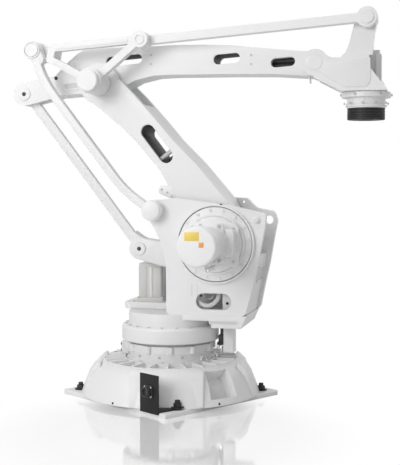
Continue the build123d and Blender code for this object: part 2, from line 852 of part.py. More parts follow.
with BuildPart() as parallel_rod_pin:
    shaft(upper_rear, crank_pin_radius, tail_half + seat_gap, -(tail_half + seat_gap))
    shaft(upper_rear, crank_pin_head, tail_half + seat_gap + crank_head_thickness, tail_half + seat_gap)
    shaft(upper_rear, crank_pin_head, -(tail_half + seat_gap), -(tail_half + seat_gap + crank_head_thickness))
save(parallel_rod_pin, "parallel_rod_pin")

# Upper link rod: a straight bar from the link to the tilt housing
rod_c_width = 42.0
rod_c_rear_eye = 38.0
rod_c_front_eye = 46.0

with BuildPart() as upper_link_rod:
    with BuildSketch(side(-rod_c_inner)):
        disc(link_top, rod_c_rear_eye)
        disc(tilt_top, rod_c_front_eye)
    extrude(amount=rod_c_thickness)
    with BuildSketch(along(link_top, rest_rise, -rod_c_inner)):
        with Locations((upper_arm_length / 2, 0)):
            Rectangle(upper_arm_length, rod_c_width)
    extrude(amount=rod_c_thickness)
    bore(link_top, pin_radius + pivot_gap, rod_c_outer, rod_c_inner)
    bore(tilt_top, pin_radius + open_pivot_gap, rod_c_outer, rod_c_inner)
save(upper_link_rod, "upper_link_rod")

# Tilt housing: two cheeks round the upper arm's end, a front body and a neck for the upper rod
tilt_cheek_radius = 60.0
tilt_cheek = tilt_half - upper_arm_half - swing_gap
tilt_low = 128.0
tilt_floor = 40.0
neck_far = 66.0
cheek_shares = [
    (0.0, 0.47), (0.336, 0.156), (0.51, 0.156), (1.09, 0.234), (1.08, -0.156), (1.464, -1.0),
    (0.51, -1.0), (0.0, -0.547), (-0.273, 0.0),
]
front_shares = [
    (0.336, 0.156), (0.518, 0.156), (0.518, -0.688), (1.364, -0.688), (1.445, -1.0), (0.51, -1.0),
    (0.336, -0.781),
]
neck_shares = [
    (0.51, 0.096), (0.627, 0.234), (0.70, 0.467), (0.80, 0.955), (1.252, 1.0), (1.19, 0.637),
    (1.155, 0.149),
]

with BuildPart() as tilt_housing:
    for inner in (-tilt_half, tilt_half - tilt_cheek):
        with BuildSketch(side(inner + tilt_cheek)):
            with BuildLine():
                Polyline(*placed(wrist, cheek_shares, wrist_offset, tilt_low), close=True)
            make_face()
            disc(wrist, tilt_cheek_radius)
        extrude(amount=tilt_cheek)
    with BuildSketch(side(tilt_half)):
        with BuildLine():
            Polyline(*placed(wrist, front_shares, wrist_offset, tilt_low), close=True)
        make_face()
    extrude(amount=2 * tilt_half)
    with BuildSketch(side(-neck_far)):
        with BuildLine():
            Polyline(*placed(wrist, neck_shares, wrist_offset, link_front_rise), close=True)
        make_face()
        disc(tilt_top, rod_c_front_eye)
    extrude(amount=tilt_half - neck_far)
    bore(wrist, wrist_pin_radius + seat_gap, tilt_half, -tilt_half)
    shaft(tilt_top, pin_radius, rod_c_outer + eye_play, tilt_half)
    shaft(tilt_top, pin_head, rod_c_outer + eye_play + pin_head_thickness, rod_c_outer + eye_play)
save(tilt_housing, "tilt_housing")

with BuildPart() as wrist_pin:
    shaft(wrist, wrist_pin_radius, tilt_half + seat_gap, -(tilt_half + seat_gap))
    shaft(wrist, wrist_pin_head, tilt_half + seat_gap + wrist_pin_head_thickness, tilt_half + seat_gap)
save(wrist_pin, "wrist_pin")

# Wrist gearbox, its motor and the tool flange
wrist_collar_radius = 112.0
wrist_collar_thickness = 26.0
wrist_drum_radius = 87.0
wrist_drum_drop = 202.0
wrist_motor_radius = 52.0
wrist_motor_height = 150.0
wrist_motor_forward = 236.0
wrist_motor_side = 14.0
flange_radius = 84.0
flange_bore = 31.5
flange_bolt_circle = 125.0
flange_bolt_hole = 5.0
flange_bolt_depth = 16.0
flange_bolts = 6

tilt_bottom = wrist[1] - tilt_low
drum_low = wrist[1] - wrist_drum_drop
with BuildPart() as wrist_gearbox:
    with BuildSketch(level(tilt_bottom - wrist_collar_thickness)):
        with Locations((tool_x, 0)):
            Circle(wrist_collar_radius)
    extrude(amount=wrist_collar_thickness)
    with BuildSketch(level(drum_low)):
        with Locations((tool_x, 0)):
            Circle(wrist_drum_radius)
    extrude(amount=tilt_bottom - drum_low)
save(wrist_gearbox, "wrist_gearbox")

with BuildPart() as wrist_motor:
    with BuildSketch(level(tilt_bottom + tilt_floor)):
        with Locations((wrist[0] + wrist_motor_forward, wrist_motor_side)):
            Circle(wrist_motor_radius)
    extrude(amount=wrist_motor_height)
save(wrist_motor, "wrist_motor")

with BuildPart() as tool_flange:
    with BuildSketch(level(flange_face)):
        with Locations((tool_x, 0)):
            Circle(flange_radius)
    extrude(amount=drum_low - seat_gap - flange_face)
    with BuildSketch(level(flange_face - cut_overrun)):
        with Locations((tool_x, 0)):
            Circle(flange_bore)
    extrude(amount=flange_bolt_depth + cut_overrun, mode=Mode.SUBTRACT)
    with BuildSketch(level(flange_face - cut_overrun)):
        with Locations((tool_x, 0)):
            with PolarLocations(flange_bolt_circle / 2, flange_bolts):
                Circle(flange_bolt_hole)
    extrude(amount=flange_bolt_depth + cut_overrun, mode=Mode.SUBTRACT)
save(tool_flange, "tool_flange")
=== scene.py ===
import json
import logging
import math
from dataclasses import dataclass, field
from enum import Enum
from typing import ClassVar

import bmesh
import bpy
from mathutils import Matrix, Vector

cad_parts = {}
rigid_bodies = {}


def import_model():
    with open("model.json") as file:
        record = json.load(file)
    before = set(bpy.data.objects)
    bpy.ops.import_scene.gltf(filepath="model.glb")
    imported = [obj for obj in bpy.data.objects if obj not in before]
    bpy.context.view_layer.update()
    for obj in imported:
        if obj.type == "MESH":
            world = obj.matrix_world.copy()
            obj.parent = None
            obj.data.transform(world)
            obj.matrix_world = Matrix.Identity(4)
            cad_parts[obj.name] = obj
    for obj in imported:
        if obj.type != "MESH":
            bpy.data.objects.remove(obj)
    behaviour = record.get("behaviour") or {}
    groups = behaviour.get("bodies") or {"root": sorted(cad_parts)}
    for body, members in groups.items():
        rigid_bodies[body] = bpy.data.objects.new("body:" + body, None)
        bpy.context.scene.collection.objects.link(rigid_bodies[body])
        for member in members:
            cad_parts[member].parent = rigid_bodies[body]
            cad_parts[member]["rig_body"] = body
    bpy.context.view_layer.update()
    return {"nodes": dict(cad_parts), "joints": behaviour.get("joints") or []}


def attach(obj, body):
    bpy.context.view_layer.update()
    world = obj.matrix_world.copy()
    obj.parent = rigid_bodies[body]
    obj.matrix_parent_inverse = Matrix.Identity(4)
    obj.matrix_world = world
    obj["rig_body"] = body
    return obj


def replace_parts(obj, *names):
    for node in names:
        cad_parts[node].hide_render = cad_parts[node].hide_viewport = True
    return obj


# Looks of the palletizing arm: castings with rounded edges, fasteners, hoses, motors and paint.
# Everything is in metres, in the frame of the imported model: X forward, Y away from the camera, Z up.

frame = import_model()

NEAR = Vector((0.0, -1.0, 0.0))
FAR = Vector((0.0, 1.0, 0.0))
UP = Vector((0.0, 0.0, 1.0))
STAND_UP = Matrix.Rotation(math.pi / 2.0, 4, "X")
SHARP_ANGLE = math.radians(32.0)
WELD = 1e-6
SIDES = (("near", NEAR), ("far", FAR))
WHITE = (1.0, 1.0, 1.0, 1.0)
BASE_TURN = -33.0
PLATE_TOP = 0.022
WALL_FACE = 0.172
PLATFORM_TOP = 0.444
ARM_LEAN = math.radians(127.68)
ARM_RISE = math.radians(4.04)
UPPER_SLOTS = ((0.118, 0.1032, 0.174, 0.026), (0.60, 0.0619, 0.123, 0.027))
REPLACED = (
    "turning_motor", "wrist_motor", "base_plate", "base_casting", "near_wall", "frame_skirt", "crank",
    "near_gear_cover", "far_gear_cover", "near_motor_adapter", "far_motor_adapter", "near_motor", "far_motor",
    "near_motor_cap", "far_motor_cap", "lower_link_rod", "connector_bracket", "connector_socket",
)

# A lid's size is its radius, height and soft rim, a hoop's is its inner radius, outer radius and height,
# a rectangle's is its half length and half width, and a slot's is its length, width and height.
Outline = list[tuple[float, float]]
Points = tuple[tuple[float, float], ...]
Shares = tuple[tuple[float, float], ...]
Route = tuple[tuple[float, float, float], ...]
Size = tuple[float, ...]
Colour = tuple[float, float, float]
Shape = bmesh.types.BMesh
Socket = bpy.types.NodeSocket
Seat = tuple[Vector, Vector, float]

log = logging.getLogger("arm")


class Slot(Enum):
    """The record's material slots."""

    WHITE = "white_paint"
    MOTOR = "motor_grey"
    BLACK = "black_steel"
    PLASTIC = "black_plastic"
    STEEL = "bare_steel"


class Screw(Enum):
    """Kinds of screw head."""

    SOCKET = "socket"
    HEX = "hex"
    BUTTON = "button"


def pivot(joint: str) -> Vector:
    """Place of a joint's axis, in the arm's frame.

    Args:
        joint: The joint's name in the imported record.

    Returns:
        A point on the axis.
    """
    return next(Vector(j["pos_m"]) for j in frame["joints"] if j["name"] == joint)


def along_y(point: Vector, y: float) -> Vector:
    """A point moved across the arm to a distance y."""
    return Vector((point.x, y, point.z))


def facing(place: Vector, axis: Vector, turn: float = 0.0) -> Matrix:
    """Matrix that carries the local Z axis to an axis at a place.

    Args:
        place: Where the local origin goes.
        axis: Direction that local Z takes.
        turn: Turn about that axis, in radians.

    Returns:
        The placing matrix.
    """
    spin = axis.to_track_quat("Z", "Y").to_matrix().to_4x4()
    return Matrix.Translation(place) @ spin @ Matrix.Rotation(turn, 4, "Z")


def on_side(point: Vector, y: float, out: Vector = NEAR) -> Matrix:
    """Matrix that puts a turned shape on an axis across the arm, at a distance y."""
    return facing(along_y(point, y), out)


def shift(x: float, y: float, z: float) -> Matrix:
    """Matrix that moves a shape."""
    return Matrix.Translation((x, y, z))


def spun(degrees: float) -> Matrix:
    """Matrix that turns a shape round local Z."""
    return Matrix.Rotation(math.radians(degrees), 4, "Z")


def stand(y: float) -> Matrix:
    """Matrix that stands a flat shape upright at y, raised towards the near side."""
    return shift(0.0, y, 0.0) @ STAND_UP


def beside(place: Vector, out: Vector) -> Matrix:
    """Matrix that stands a flat shape at one side of the arm, raised away from it."""
    return Matrix.Translation(place) @ Matrix.Rotation(-out.y * math.pi / 2.0, 4, "X")


def rectangle(half_x: float, half_y: float) -> Outline:
    """Corners of a rectangle round the origin."""
    return [(-half_x, -half_y), (half_x, -half_y), (half_x, half_y), (-half_x, half_y)]


def polar(radius: float, count: int, start: float = 0.0) -> list[Vector]:
    """Evenly spaced points on a circle round the local Z axis.

    Args:
        radius: Radius of the circle.
        count: Number of points.
        start: Angle of the first point, in degrees.

    Returns:
        The points.
    """
    steps = [math.radians(start) + 2.0 * math.pi * k / count for k in range(count)]
    return [Vector((radius * math.cos(a), radius * math.sin(a), 0.0)) for a in steps]


class Wiring:
    """Adds nodes to a shader tree and links them."""

    def __init__(self, tree: bpy.types.NodeTree) -> None:
        """Take the tree that is worked on."""
        self.tree = tree
        self.nodes = tree.nodes

    def node(
        self, kind: str, values: dict[str, object] | None = None, group: bpy.types.NodeTree | None = None,
    ) -> bpy.types.Node:
        """Add a node.

        Args:
            kind: The node's type.
            values: Values of its inputs by name.
            group: The shared group that it shows, if it is a group's node.

        Returns:
            The new node.
        """
        added = self.nodes.new(kind)
        if group is not None:
            added.node_tree = group
        for name, value in (values or {}).items():
            added.inputs[name].default_value = value
        return added

    def link(self, source: Socket, target: Socket) -> None:
        """Link an output to an input."""
        self.tree.links.new(source, target)

    def joined(self, operation: str, first: Socket, second: Socket | float) -> Socket:
        """Join two values by a mathematical operation.

        Args:
            operation: The operation's name.
            first: The first value.
            second: The second value, from a node or as a number.

        Returns:
            The result.
        """
        maths = self.nodes.new("ShaderNodeMath")
        maths.operation = operation
        self.link(first, maths.inputs[0])
        if isinstance(second, float):
            maths.inputs[1].default_value = second
        else:
            self.link(second, maths.inputs[1])
        return maths.outputs[0]

    def ranged(self, value: Socket, low: float, high: float, kind: str = "LINEAR") -> Socket:
        """Map the values between two numbers to 0 and 1.

        Args:
            value: The value.
            low: The number that becomes 0.
            high: The number that becomes 1.
            kind: Kind of interpolation between them.

        Returns:
            The mapped value.
        """
        span = self.node("ShaderNodeMapRange", {"From Min": low, "From Max": high})
        span.interpolation_type = kind
        self.link(value, span.inputs["Value"])
        return span.outputs["Result"]

    def mixed(self, factor: Socket, first: Socket, second: Socket | tuple[float, ...]) -> Socket:
        """Mix two colours.

        Args:
            factor: Share of the second colour.
            first: The first colour.
            second: The second colour, from a node or as numbers.

        Returns:
            The mixed colour.
        """
        mix = self.nodes.new("ShaderNodeMix")
        mix.data_type = "RGBA"
        self.link(factor, mix.inputs["Factor"])
        self.link(first, mix.inputs[6])
        if isinstance(second, tuple):
            mix.inputs[7].default_value = second
        else:
            self.link(second, mix.inputs[7])
        return mix.outputs[2]

    def blended(self, factor: Socket, first: Socket, second: Socket, target: Socket) -> None:
        """Lead a mix of two shaders to an input.

        Args:
            factor: Share of the second shader.
            first: The first shader.
            second: The second shader.
            target: The input.
        """
        mix = self.nodes.new("ShaderNodeMixShader")
        for number, source in enumerate((factor, first, second)):
            self.link(source, mix.inputs[number])
        self.link(mix.outputs[0], target)


def new_group(
    name: str, colours: dict[str, Colour], values: dict[str, float], outputs: dict[str, str],
) -> Wiring:
    """Start a shader node group.

    Args:
        name: The group's name.
        colours: Its colour inputs and their defaults.
        values: Its number inputs and their defaults.
        outputs: Its outputs and their kinds.

    Returns:
        The wiring of the empty group.
    """
    group = bpy.data.node_groups.new(name, "ShaderNodeTree")
    for label, colour in colours.items():
        socket = group.interface.new_socket(name=label, in_out="INPUT", socket_type="NodeSocketColor")
        socket.default_value = (*colour, 1.0)
    for label, value in values.items():
        socket = group.interface.new_socket(name=label, in_out="INPUT", socket_type="NodeSocketFloat")
        socket.default_value = value
    for label, kind in outputs.items():
        group.interface.new_socket(name=label, in_out="OUTPUT", socket_type=kind)
    return Wiring(group)


PATCH_RANGE = (0.35, 0.75)
UPWARD_RANGE = (0.6, 1.0)
RIDGE_RANGE = (0.53, 0.60)
DUST_COLOUR = (0.62, 0.60, 0.56, 1.0)


def build_breakup_group() -> bpy.types.NodeTree:
    """Node group that mottles a colour, dusts upward faces and rubs welded edges.

    Returns:
        The shader node group.
    """
    wiring = new_group(
        "surface_breakup",
        {"Colour": (0.8, 0.8, 0.8), "Shade": (0.7, 0.7, 0.7), "Rubbed": (0.9, 0.9, 0.9)},
        {"Scale": 6.0, "Mottle": 0.3, "Dust": 0.1, "Edge": 0.2, "Rough Low": 0.3, "Rough High": 0.45},
        {"Colour": "NodeSocketColor", "Roughness": "NodeSocketFloat"},
    )
    enter, leave = wiring.node("NodeGroupInput"), wiring.node("NodeGroupOutput")
    where, shape = wiring.node("ShaderNodeTexCoord"), wiring.node("ShaderNodeNewGeometry")
    blotch = wiring.node("ShaderNodeTexNoise", {"Detail": 5.0, "Roughness": 0.6})
    wiring.link(where.outputs["Object"], blotch.inputs["Vector"])
    wiring.link(enter.outputs["Scale"], blotch.inputs["Scale"])
    patches = blotch.outputs["Fac"]
    amount = wiring.joined("MULTIPLY", wiring.ranged(patches, *PATCH_RANGE), enter.outputs["Mottle"])
    mottled = wiring.mixed(amount, enter.outputs["Colour"], enter.outputs["Shade"])
    upward = wiring.node("ShaderNodeSeparateXYZ")
    wiring.link(shape.outputs["Normal"], upward.inputs[0])
    level = wiring.ranged(upward.outputs["Z"], *UPWARD_RANGE)
    settled = wiring.joined("MULTIPLY", level, enter.outputs["Dust"])
    dusted = wiring.mixed(wiring.joined("MULTIPLY", settled, patches), mottled, DUST_COLOUR)
    ridge = wiring.ranged(shape.outputs["Pointiness"], *RIDGE_RANGE)
    worn = wiring.joined("MULTIPLY", ridge, enter.outputs["Edge"])
    rubbed = wiring.mixed(worn, dusted, enter.outputs["Rubbed"])
    rough = wiring.node("ShaderNodeMapRange")
    wiring.link(patches, rough.inputs["Value"])
    wiring.link(enter.outputs["Rough Low"], rough.inputs["To Min"])
    wiring.link(enter.outputs["Rough High"], rough.inputs["To Max"])
    wiring.link(rubbed, leave.inputs["Colour"])
    wiring.link(rough.outputs["Result"], leave.inputs["Roughness"])
    return wiring.tree


def build_skin_group() -> bpy.types.NodeTree:
    """Node group of surface height: fine orange peel over slow casting waves.

    Returns:
        The shader node group.
    """
    wiring = new_group(
        "skin_height", {}, {"Fine Scale": 420.0, "Wave Scale": 14.0, "Wave Share": 0.5},
        {"Height": "NodeSocketFloat"},
    )
    enter, leave = wiring.node("NodeGroupInput"), wiring.node("NodeGroupOutput")
    where = wiring.node("ShaderNodeTexCoord")
    join = wiring.node("ShaderNodeMix")
    join.data_type = "FLOAT"
    wiring.link(enter.outputs["Wave Share"], join.inputs["Factor"])
    for number, scale in ((2, "Fine Scale"), (3, "Wave Scale")):
        texture = wiring.node("ShaderNodeTexNoise", {"Detail": 2.0})
        wiring.link(where.outputs["Object"], texture.inputs["Vector"])
        wiring.link(enter.outputs[scale], texture.inputs["Scale"])
        wiring.link(texture.outputs["Fac"], join.inputs[number])
    wiring.link(join.outputs[0], leave.inputs["Height"])
    return wiring.tree


@dataclass(frozen=True)
class Finish:
    """A surface finish and the values of its material."""

    name: str
    slot: Slot
    colour: Colour
    shade: Colour
    rubbed: Colour
    rough_low: float
    rough_high: float
    metallic: float = 0.0
    coat: float = 0.0
    coat_roughness: float = 0.2
    mottle: float = 0.3
    mottle_scale: float = 5.0
    dust: float = 0.1
    edge: float = 0.15
    fine_scale: float = 420.0
    wave_scale: float = 14.0
    wave_share: float = 0.5
    bump: float = 0.08
    bump_distance: float = 0.002

    def build(self, groups: dict[str, bpy.types.NodeTree]) -> bpy.types.Material:
        """Make the material from the shared node groups.

        Args:
            groups: The shared groups by name.

        Returns:
            The new material.
        """
        material = bpy.data.materials.new(self.name)
        material.use_nodes = True
        wiring = Wiring(material.node_tree)
        shader = wiring.nodes["Principled BSDF"]
        shader.inputs["Metallic"].default_value = self.metallic
        shader.inputs["Coat Weight"].default_value = self.coat
        shader.inputs["Coat Roughness"].default_value = self.coat_roughness
        surface = wiring.node("ShaderNodeGroup", {
            "Colour": (*self.colour, 1.0), "Shade": (*self.shade, 1.0), "Rubbed": (*self.rubbed, 1.0),
            "Scale": self.mottle_scale, "Mottle": self.mottle, "Dust": self.dust, "Edge": self.edge,
            "Rough Low": self.rough_low, "Rough High": self.rough_high,
        }, groups["surface_breakup"])
        skin = wiring.node("ShaderNodeGroup", {
            "Fine Scale": self.fine_scale, "Wave Scale": self.wave_scale, "Wave Share": self.wave_share,
        }, groups["skin_height"])
        relief = wiring.node("ShaderNodeBump", {"Strength": self.bump, "Distance": self.bump_distance})
        wiring.link(skin.outputs["Height"], relief.inputs["Height"])
        wiring.link(relief.outputs["Normal"], shader.inputs["Normal"])
        wiring.link(surface.outputs["Colour"], shader.inputs["Base Color"])
        wiring.link(surface.outputs["Roughness"], shader.inputs["Roughness"])
        return material


CASTING_WHITE = Finish(
    "casting_white", Slot.WHITE, (0.77, 0.77, 0.775), (0.72, 0.72, 0.725), (0.82, 0.82, 0.82),
    0.36, 0.48, coat=0.10, coat_roughness=0.3, mottle=0.35, dust=0.10, edge=0.15, fine_scale=180.0, bump=0.04,
)
ROD_WHITE = Finish(
    "rod_white", Slot.WHITE, (0.79, 0.79, 0.795), (0.75, 0.75, 0.755), (0.84, 0.84, 0.84),
    0.40, 0.50, coat=0.04, coat_roughness=0.4, mottle=0.2, dust=0.05, edge=0.03, fine_scale=120.0, bump=0.008,
)
MOTOR_GREY = Finish(
    "motor_grey", Slot.MOTOR, (0.60, 0.595, 0.58), (0.52, 0.515, 0.50), (0.68, 0.675, 0.66),
    0.38, 0.5, coat=0.05, mottle=0.3, dust=0.12, edge=0.2, bump=0.07,
)
MOTOR_WHITE = Finish(
    "motor_white", Slot.MOTOR, (0.75, 0.75, 0.75), (0.70, 0.70, 0.70), (0.80, 0.80, 0.80),
    0.36, 0.46, coat=0.08, mottle=0.25, dust=0.08, edge=0.2, bump=0.05,
)
CAP_PLASTIC = Finish(
    "cap_plastic", Slot.MOTOR, (0.80, 0.80, 0.80), (0.77, 0.77, 0.77), (0.83, 0.83, 0.83),
    0.40, 0.5, mottle=0.2, dust=0.05, edge=0.1, fine_scale=900.0, bump=0.04,
)
BLACK_STEEL = Finish(
    "black_steel", Slot.BLACK, (0.010, 0.010, 0.011), (0.018, 0.018, 0.019), (0.12, 0.118, 0.115),
    0.46, 0.62, metallic=0.5, mottle=0.6, mottle_scale=22.0, dust=0.02, edge=0.2, bump=0.08,
)
BLACK_PLASTIC = Finish(
    "black_plastic", Slot.PLASTIC, (0.022, 0.022, 0.022), (0.034, 0.034, 0.034), (0.06, 0.06, 0.06),
    0.42, 0.58, mottle=0.4, mottle_scale=30.0, dust=0.06, edge=0.2, fine_scale=1400.0, bump=0.10,
)
BARE_STEEL = Finish(
    "bare_steel", Slot.STEEL, (0.58, 0.58, 0.57), (0.42, 0.41, 0.39), (0.75, 0.75, 0.74),
    0.24, 0.42, metallic=1.0, mottle=0.5, mottle_scale=35.0, dust=0.05, edge=0.4, fine_scale=900.0, bump=0.08,
)
HOSE_GREY = Finish(
    "hose_grey", Slot.PLASTIC, (0.62, 0.62, 0.60), (0.54, 0.54, 0.52), (0.68, 0.68, 0.66),
    0.45, 0.58, mottle=0.3, mottle_scale=24.0, dust=0.08, edge=0.0, fine_scale=700.0, bump=0.08,
)
PATCH_YELLOW = Finish(
    "patch_yellow", Slot.PLASTIC, (0.80, 0.60, 0.10), (0.74, 0.55, 0.09), (0.84, 0.66, 0.2),
    0.35, 0.45, mottle=0.3, mottle_scale=40.0, dust=0.05, edge=0.1, fine_scale=1500.0, bump=0.03,
)
PATCH_ORANGE = Finish(
    "patch_orange", Slot.PLASTIC, (0.80, 0.34, 0.08), (0.74, 0.30, 0.07), (0.84, 0.42, 0.15),
    0.35, 0.45, mottle=0.3, mottle_scale=40.0, dust=0.05, edge=0.1, fine_scale=1500.0, bump=0.03,
)
# Near-black painted shade for the walls inside the arms' slots, in place of the shade inside the hollow arms.
PAINTED_SHADE_INSIDE = Finish(
    "painted_shade_inside", Slot.WHITE, (0.035, 0.035, 0.037), (0.020, 0.020, 0.022), (0.06, 0.06, 0.06),
    0.5, 0.7, mottle=0.5, mottle_scale=14.0, dust=0.05, edge=0.0, bump=0.05,
)
FINISHES = (
    PAINTED_SHADE_INSIDE, CASTING_WHITE, ROD_WHITE, MOTOR_GREY, MOTOR_WHITE, CAP_PLASTIC, BLACK_STEEL, BLACK_PLASTIC,
    BARE_STEEL, HOSE_GREY, PATCH_YELLOW, PATCH_ORANGE,
)


@dataclass(frozen=True)
class Fastener:
    """Head of a screw or plug: its finish, kind, radius and height."""

    finish: Finish
    kind: Screw
    radius: float
    height: float


COVER_SCREW = Fastener(CASTING_WHITE, Screw.SOCKET, 0.0068, 0.005)
PLATE_SCREW = Fastener(MOTOR_GREY, Screw.SOCKET, 0.0058, 0.005)
FLANGE_SCREW = Fastener(MOTOR_GREY, Screw.SOCKET, 0.008, 0.008)
CAP_SCREW = Fastener(MOTOR_WHITE, Screw.BUTTON, 0.0042, 0.0022)
DRUM_SCREW = Fastener(MOTOR_GREY, Screw.SOCKET, 0.0062, 0.005)
STOP_SCREW = Fastener(BLACK_STEEL, Screw.HEX, 0.0085, 0.006)
CASTING_PLUG = Fastener(BLACK_PLASTIC, Screw.BUTTON, 0.0062, 0.003)
CROWN_SCREW = Fastener(BARE_STEEL, Screw.SOCKET, 0.006, 0.005)
SOCKET_SCREW = Fastener(BARE_STEEL, Screw.BUTTON, 0.0042, 0.0028)
RING_SCREW = Fastener(MOTOR_GREY, Screw.SOCKET, 0.0058, 0.0045)
PLATFORM_SCREW = Fastener(BARE_STEEL, Screw.SOCKET, 0.0065, 0.006)
WALL_BOSS_SCREW = Fastener(CASTING_WHITE, Screw.SOCKET, 0.0105, 0.006)
RIM_PLUG = Fastener(BLACK_PLASTIC, Screw.BUTTON, 0.0065, 0.005)
WINDOW_SCREW = Fastener(BLACK_STEEL, Screw.SOCKET, 0.0062, 0.005)
FAR_WALL_SCREW = Fastener(BARE_STEEL, Screw.BUTTON, 0.006, 0.004)
TURNING_MOTOR_SCREW = Fastener(BARE_STEEL, Screw.SOCKET, 0.0058, 0.006)
LUG_SCREW = Fastener(MOTOR_GREY, Screw.SOCKET, 0.0052, 0.004)
ELBOW_COVER_SCREW = Fastener(BARE_STEEL, Screw.SOCKET, 0.005, 0.004)
ARM_SCREW = Fastener(MOTOR_GREY, Screw.SOCKET, 0.0056, 0.003)
TAIL_PLUG = Fastener(BLACK_PLASTIC, Screw.BUTTON, 0.009, 0.004)
DRUM_RIM_SCREW = Fastener(MOTOR_GREY, Screw.SOCKET, 0.0052, 0.006)
COLLAR_SCREW = Fastener(MOTOR_GREY, Screw.SOCKET, 0.0056, 0.007)


class Paintbox:
    """Builds each finish's material once and hands it out."""

    def __init__(self) -> None:
        """Make the shared groups and all materials."""
        groups = {"surface_breakup": build_breakup_group(), "skin_height": build_skin_group()}
        self.materials = {finish.name: finish.build(groups) for finish in FINISHES}

    def of(self, finish: Finish) -> bpy.types.Material:
        """The material of a finish."""
        return self.materials[finish.name]


def turned(profile: Outline, steps: int = 64) -> Shape:
    """Shape spun round the local Z axis.

    Args:
        profile: Pairs of radius and height, from one pole or rim to the other.
        steps: Steps in the full turn.

    Returns:
        The new shape.
    """
    shape = bmesh.new()
    verts = [shape.verts.new((radius, 0.0, height)) for radius, height in profile]
    edges = [shape.edges.new(pair) for pair in zip(verts, verts[1:])]
    bmesh.ops.spin(
        shape, geom=verts + edges, cent=(0.0, 0.0, 0.0), axis=(0.0, 0.0, 1.0), dvec=(0.0, 0.0, 0.0),
        angle=2.0 * math.pi, steps=steps, use_merge=True,
    )
    return shape


def bevel(shape: Shape, parts: list, width: float, segments: int, affect: str = "EDGES") -> None:
    """Bevel some edges or vertices of a shape.

    Args:
        shape: The shape.
        parts: The edges or vertices.
        width: Width of the bevel.
        segments: Segments across it.
        affect: What the parts are, EDGES or VERTICES.
    """
    bmesh.ops.bevel(
        shape, geom=parts, offset=width, offset_type="OFFSET", segments=segments, profile=0.5,
        affect=affect, clamp_overlap=True, material=-1,
    )


def rounded(shape: Shape, width: float, segments: int = 3, angle: float = 25.0) -> Shape:
    """Bevel a shape's edges that are sharper than an angle.

    Args:
        shape: The shape to round.
        width: Width of the round.
        segments: Segments across it.
        angle: Least angle between the faces, in degrees.

    Returns:
        The same shape.
    """
    bmesh.ops.recalc_face_normals(shape, faces=shape.faces)
    edges = [e for e in shape.edges if e.is_manifold and e.calc_face_angle(0.0) > math.radians(angle)]
    bevel(shape, edges, width, segments)
    return shape


def flat(outline: Outline, corner: float) -> Shape:
    """One flat face with rounded corners.

    Args:
        outline: Corner points.
        corner: Radius at the corners.

    Returns:
        The new shape.
    """
    shape = bmesh.new()
    face = shape.faces.new([shape.verts.new((x, y, 0.0)) for x, y in outline])
    if corner > 0.0:
        bevel(shape, list(face.verts), corner, 5, "VERTICES")
    return shape


def lift(shape: Shape, height: float) -> list[bmesh.types.BMVert]:
    """Extrude all faces of a flat shape along local Z.

    Args:
        shape: The flat shape.
        height: How far its copy is lifted.

    Returns:
        The lifted vertices.
    """
    raised = bmesh.ops.extrude_face_region(shape, geom=list(shape.faces))
    lifted = [g for g in raised["geom"] if isinstance(g, bmesh.types.BMVert)]
    bmesh.ops.translate(shape, vec=(0.0, 0.0, height), verts=lifted)
    return lifted


def block(size: tuple[float, float, float], edge: float, segments: int = 3) -> Shape:
    """Box with rounded edges, centred on its foot.

    Args:
        size: Its length, width and height.
        edge: Width of the round.
        segments: Segments across the round.

    Returns:
        The new shape, standing on local Z zero.
    """
    shape = bmesh.new()
    bmesh.ops.create_cube(shape, size=1.0)
    bmesh.ops.translate(shape, vec=(0.0, 0.0, 0.5), verts=shape.verts)
    bmesh.ops.scale(shape, vec=size, verts=shape.verts)
    return rounded(shape, edge, segments)


def prism(outline: Outline, height: float, corner: float, edge: float) -> Shape:
    """Flat outline with rounded corners, raised along local Z and rounded on top.

    Args:
        outline: Corner points.
        height: Height of the prism.
        corner: Radius at the outline's corners.
        edge: Width of the round along the top.

    Returns:
        The new shape.
    """
    shape = flat(outline, corner)
    lifted = set(lift(shape, height))
    if edge > 0.0:
        bmesh.ops.recalc_face_normals(shape, faces=shape.faces)
        rim = [e for e in shape.edges if lifted.issuperset(e.verts) and e.calc_face_angle(0.0) > 0.5]
        bevel(shape, rim, edge, 3)
    return shape


def stadium(length: float, width: float, height: float, edge: float) -> Shape:
    """Prism whose outline is a slot: two round ends and straight sides.

    Args:
        length: Its whole length.
        width: Its width.
        height: Its height.
        edge: Width of the round along the top.

    Returns:
        The new shape.
    """
    return prism(rectangle(length / 2.0, width / 2.0), height, 0.98 * width / 2.0, edge)


class Piece:
    """One object joined from several shapes, which rides on a body of the arm."""

    def __init__(self, name: str, body: str, paints: Paintbox, *finishes: Finish) -> None:
        """Start an empty piece.

        Args:
            name: The piece's name.
            body: The body it rides on.
            paints: The materials.
            finishes: Its finishes, the main one first.
        """
        self.name = name
        self.body = body
        self.paints = paints
        self.finishes = finishes
        self.mesh = bmesh.new()

    def add(self, shape: Shape, place: Matrix, finish: int = 0) -> None:
        """Put a shape in place in the piece.

        Args:
            shape: The shape, which is used up.
            place: Matrix from the shape's own axes to the arm's frame.
            finish: Number of the finish it takes.
        """
        bmesh.ops.remove_doubles(shape, verts=shape.verts, dist=WELD)
        bmesh.ops.transform(shape, matrix=place, verts=shape.verts)
        bmesh.ops.recalc_face_normals(shape, faces=shape.faces)
        for face in shape.faces:
            face.material_index = finish
        carrier = bpy.data.meshes.new("carrier")
        shape.to_mesh(carrier)
        shape.free()
        self.mesh.from_mesh(carrier)
        bpy.data.meshes.remove(carrier)

    def close(self) -> bpy.types.Object:
        """Turn the piece into an object that rides on its body.

        Returns:
            The new object.
        """
        data = bpy.data.meshes.new(self.name)
        self.mesh.to_mesh(data)
        self.mesh.free()
        return settle(data, self.name, self.body, self.paints, self.finishes)


